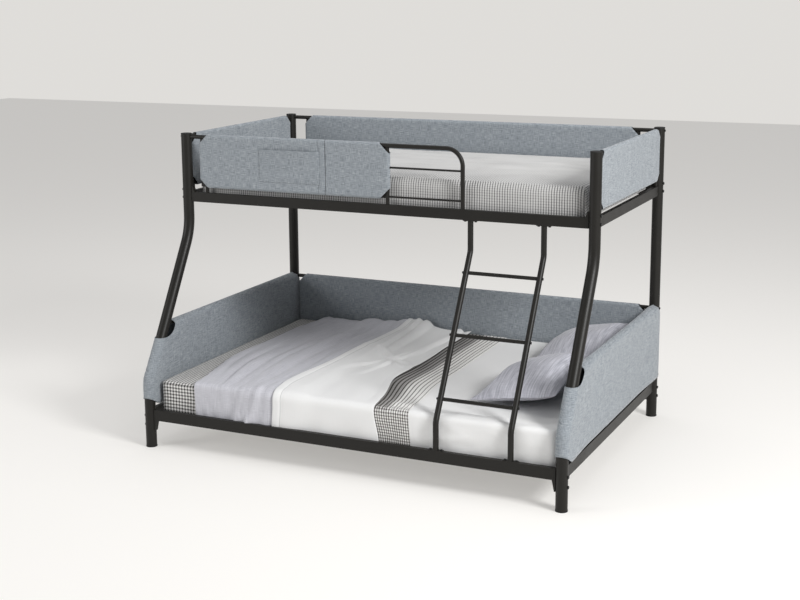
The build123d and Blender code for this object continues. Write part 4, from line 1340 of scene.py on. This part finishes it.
# %% [markdown]
# A pillow can be sculpted, but its tips and puckered seams come from filling two flat panels. So the panels
# are sewn round the edge and blown up by the cloth solver's pressure. The pillow then leans against the end
# sleeve, and what would sink into the mattress is pressed flat.

# %% Filling a pillow
pillow_width = 0.47
pillow_length = 0.62
pillow_step = 21.4 * mm
panel_gap = 3 * mm
fill_pressure = 1.5
fill_frames = 22


def pillow_panels():
    """Two flat panels, one over the other, sewn together round the edge."""
    bm, flat = flat_cloth(pillow_width, pillow_length, pillow_step)
    for v in flat:
        v.co = (v.co.x * pillow_width, v.co.y * pillow_length, 0.0)
    for v in new_verts(bmesh.ops.extrude_face_region(bm, geom=bm.faces[:], use_keep_orig=True)):
        v.co.z += panel_gap
    bmesh.ops.recalc_face_normals(bm, faces=bm.faces[:])
    return new_object("pillow_panels", bm)


def blown_up(piece):
    """Fills sewn panels by pressure, without their weight, and gives the mesh that they end as."""
    cloth = piece.modifiers.new("fill", "CLOTH")
    settings = cloth.settings
    settings.quality = 6
    settings.mass = 0.25
    settings.tension_stiffness = settings.compression_stiffness = 25
    settings.shear_stiffness = 8
    settings.bending_stiffness = 0.4
    settings.air_damping = 4
    settings.use_pressure = True
    settings.uniform_pressure_force = fill_pressure
    settings.effector_weights.gravity = 0.0
    cloth.point_cache.frame_end = fill_frames
    scene = bpy.context.scene
    for frame_number in range(1, fill_frames + 1):
        scene.frame_set(frame_number)
    depsgraph = bpy.context.evaluated_depsgraph_get()
    blown = bpy.data.meshes.new_from_object(piece.evaluated_get(depsgraph))
    bpy.data.objects.remove(piece)
    scene.frame_set(1)
    return blown


# %% Pillows
pillow_lean = radians(12)
slackness = 0.06


def pillow(name, turn, seed, nudge, grow):
    """Filled pillow, fitted to its CAD node made grow taller, and pressed onto what it lies on."""
    low, high = (Vector(corner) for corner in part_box(name))
    high.z += grow
    blown = blown_up(pillow_panels())
    bm = bmesh.new()
    bm.from_mesh(blown)
    bpy.data.meshes.remove(blown)
    spin = Matrix.Rotation(turn, 4, "Z") @ Matrix.Rotation(-pillow_lean, 4, "Y")
    for v in bm.verts:
        v.co.z *= 1 + slackness * waver(v.co.x * 7.0, v.co.y * 7.0, seed)
        v.co = spin @ v.co
    reach_low = Vector([min(v.co[i] for v in bm.verts) for i in range(3)])
    reach_high = Vector([max(v.co[i] for v in bm.verts) for i in range(3)])
    reach = [round(c, 3) for c in reach_high - reach_low]
    print(name, "blown to", reach, "for", [round(c, 3) for c in high - low])
    for v in bm.verts:
        share = [(v.co[i] - reach_low[i]) / (reach_high[i] - reach_low[i]) for i in range(3)]
        v.co = [low[i] + (high[i] - low[i]) * share[i] + nudge[i] for i in range(3)]
        at_front = max(0.0, 1 - share[1] / 0.42) ** 1.4
        at_left = max(0.0, 1 - share[0] / 0.35) ** 1.4
        droop = min(0.5, 0.48 * at_front * (1 - 0.6 * share[0] ** 2) + 0.25 * at_left)
        v.co.z -= droop * (v.co.z - low.z)
    piece = finish_piece(name + "_filled", bm, pillow_linen, (name,), body=name)
    add_modifier(piece, "smooth", "SUBSURF", levels=2, render_levels=2)


pillow("front_pillow", radians(-5), 3.0, nudge=(2 * mm, -33 * mm, -4 * mm), grow=26 * mm)
pillow("rear_pillow", radians(2), 8.0, nudge=(-4 * mm, -8 * mm, -4 * mm), grow=14 * mm)

# %% [markdown]
# The pocket is a patch on the front cover, sewn at its sides and bottom. A shallow box would have no slack.
# It is a flat cloth instead, which keeps to the cover's surface and gapes a little at its open top.

# %% Pocket on the front cover
pocket_step = 6 * mm
pocket_rise = 1.2 * mm
top_hem = 0.8 * mm


def pocket():
    """Lays the pocket on the cover, with a hem on its open top and one crease."""
    low, high = (Vector(corner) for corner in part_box("guard_pocket"))
    cover_low, cover_high, middle, half = panel("front_guard_cover", True)
    cover_y = middle - half
    relief = stretched(front_cover_seed, cover_low, cover_high)
    width = high.x - low.x
    height = high.z - low.z
    depth = cover_y - low.y - 2 * mm
    bm, flat = flat_cloth(width, height, pocket_step)
    for v, (across, above) in flat.items():
        share = across / width
        rise = above / height
        x = low.x + across
        z = low.z + above
        gape = (4 * share * (1 - share)) ** 0.7 * rise**1.6 * depth
        crease = 1.6 * mm * billow(rise, 0.16, 0.10) * fold(share, 0.45, 0.5)
        hem = top_hem * step_up(rise, 0.86, 0.02)
        surface = cover_y - relief(Vector((x, z)), -1)
        v.co = (x, surface - pocket_rise - gape - crease - hem, z)
    piece = cloth_piece("guard_pocket_cloth", bm, cover_finish, 1.4 * mm, "guard_pocket")


pocket()
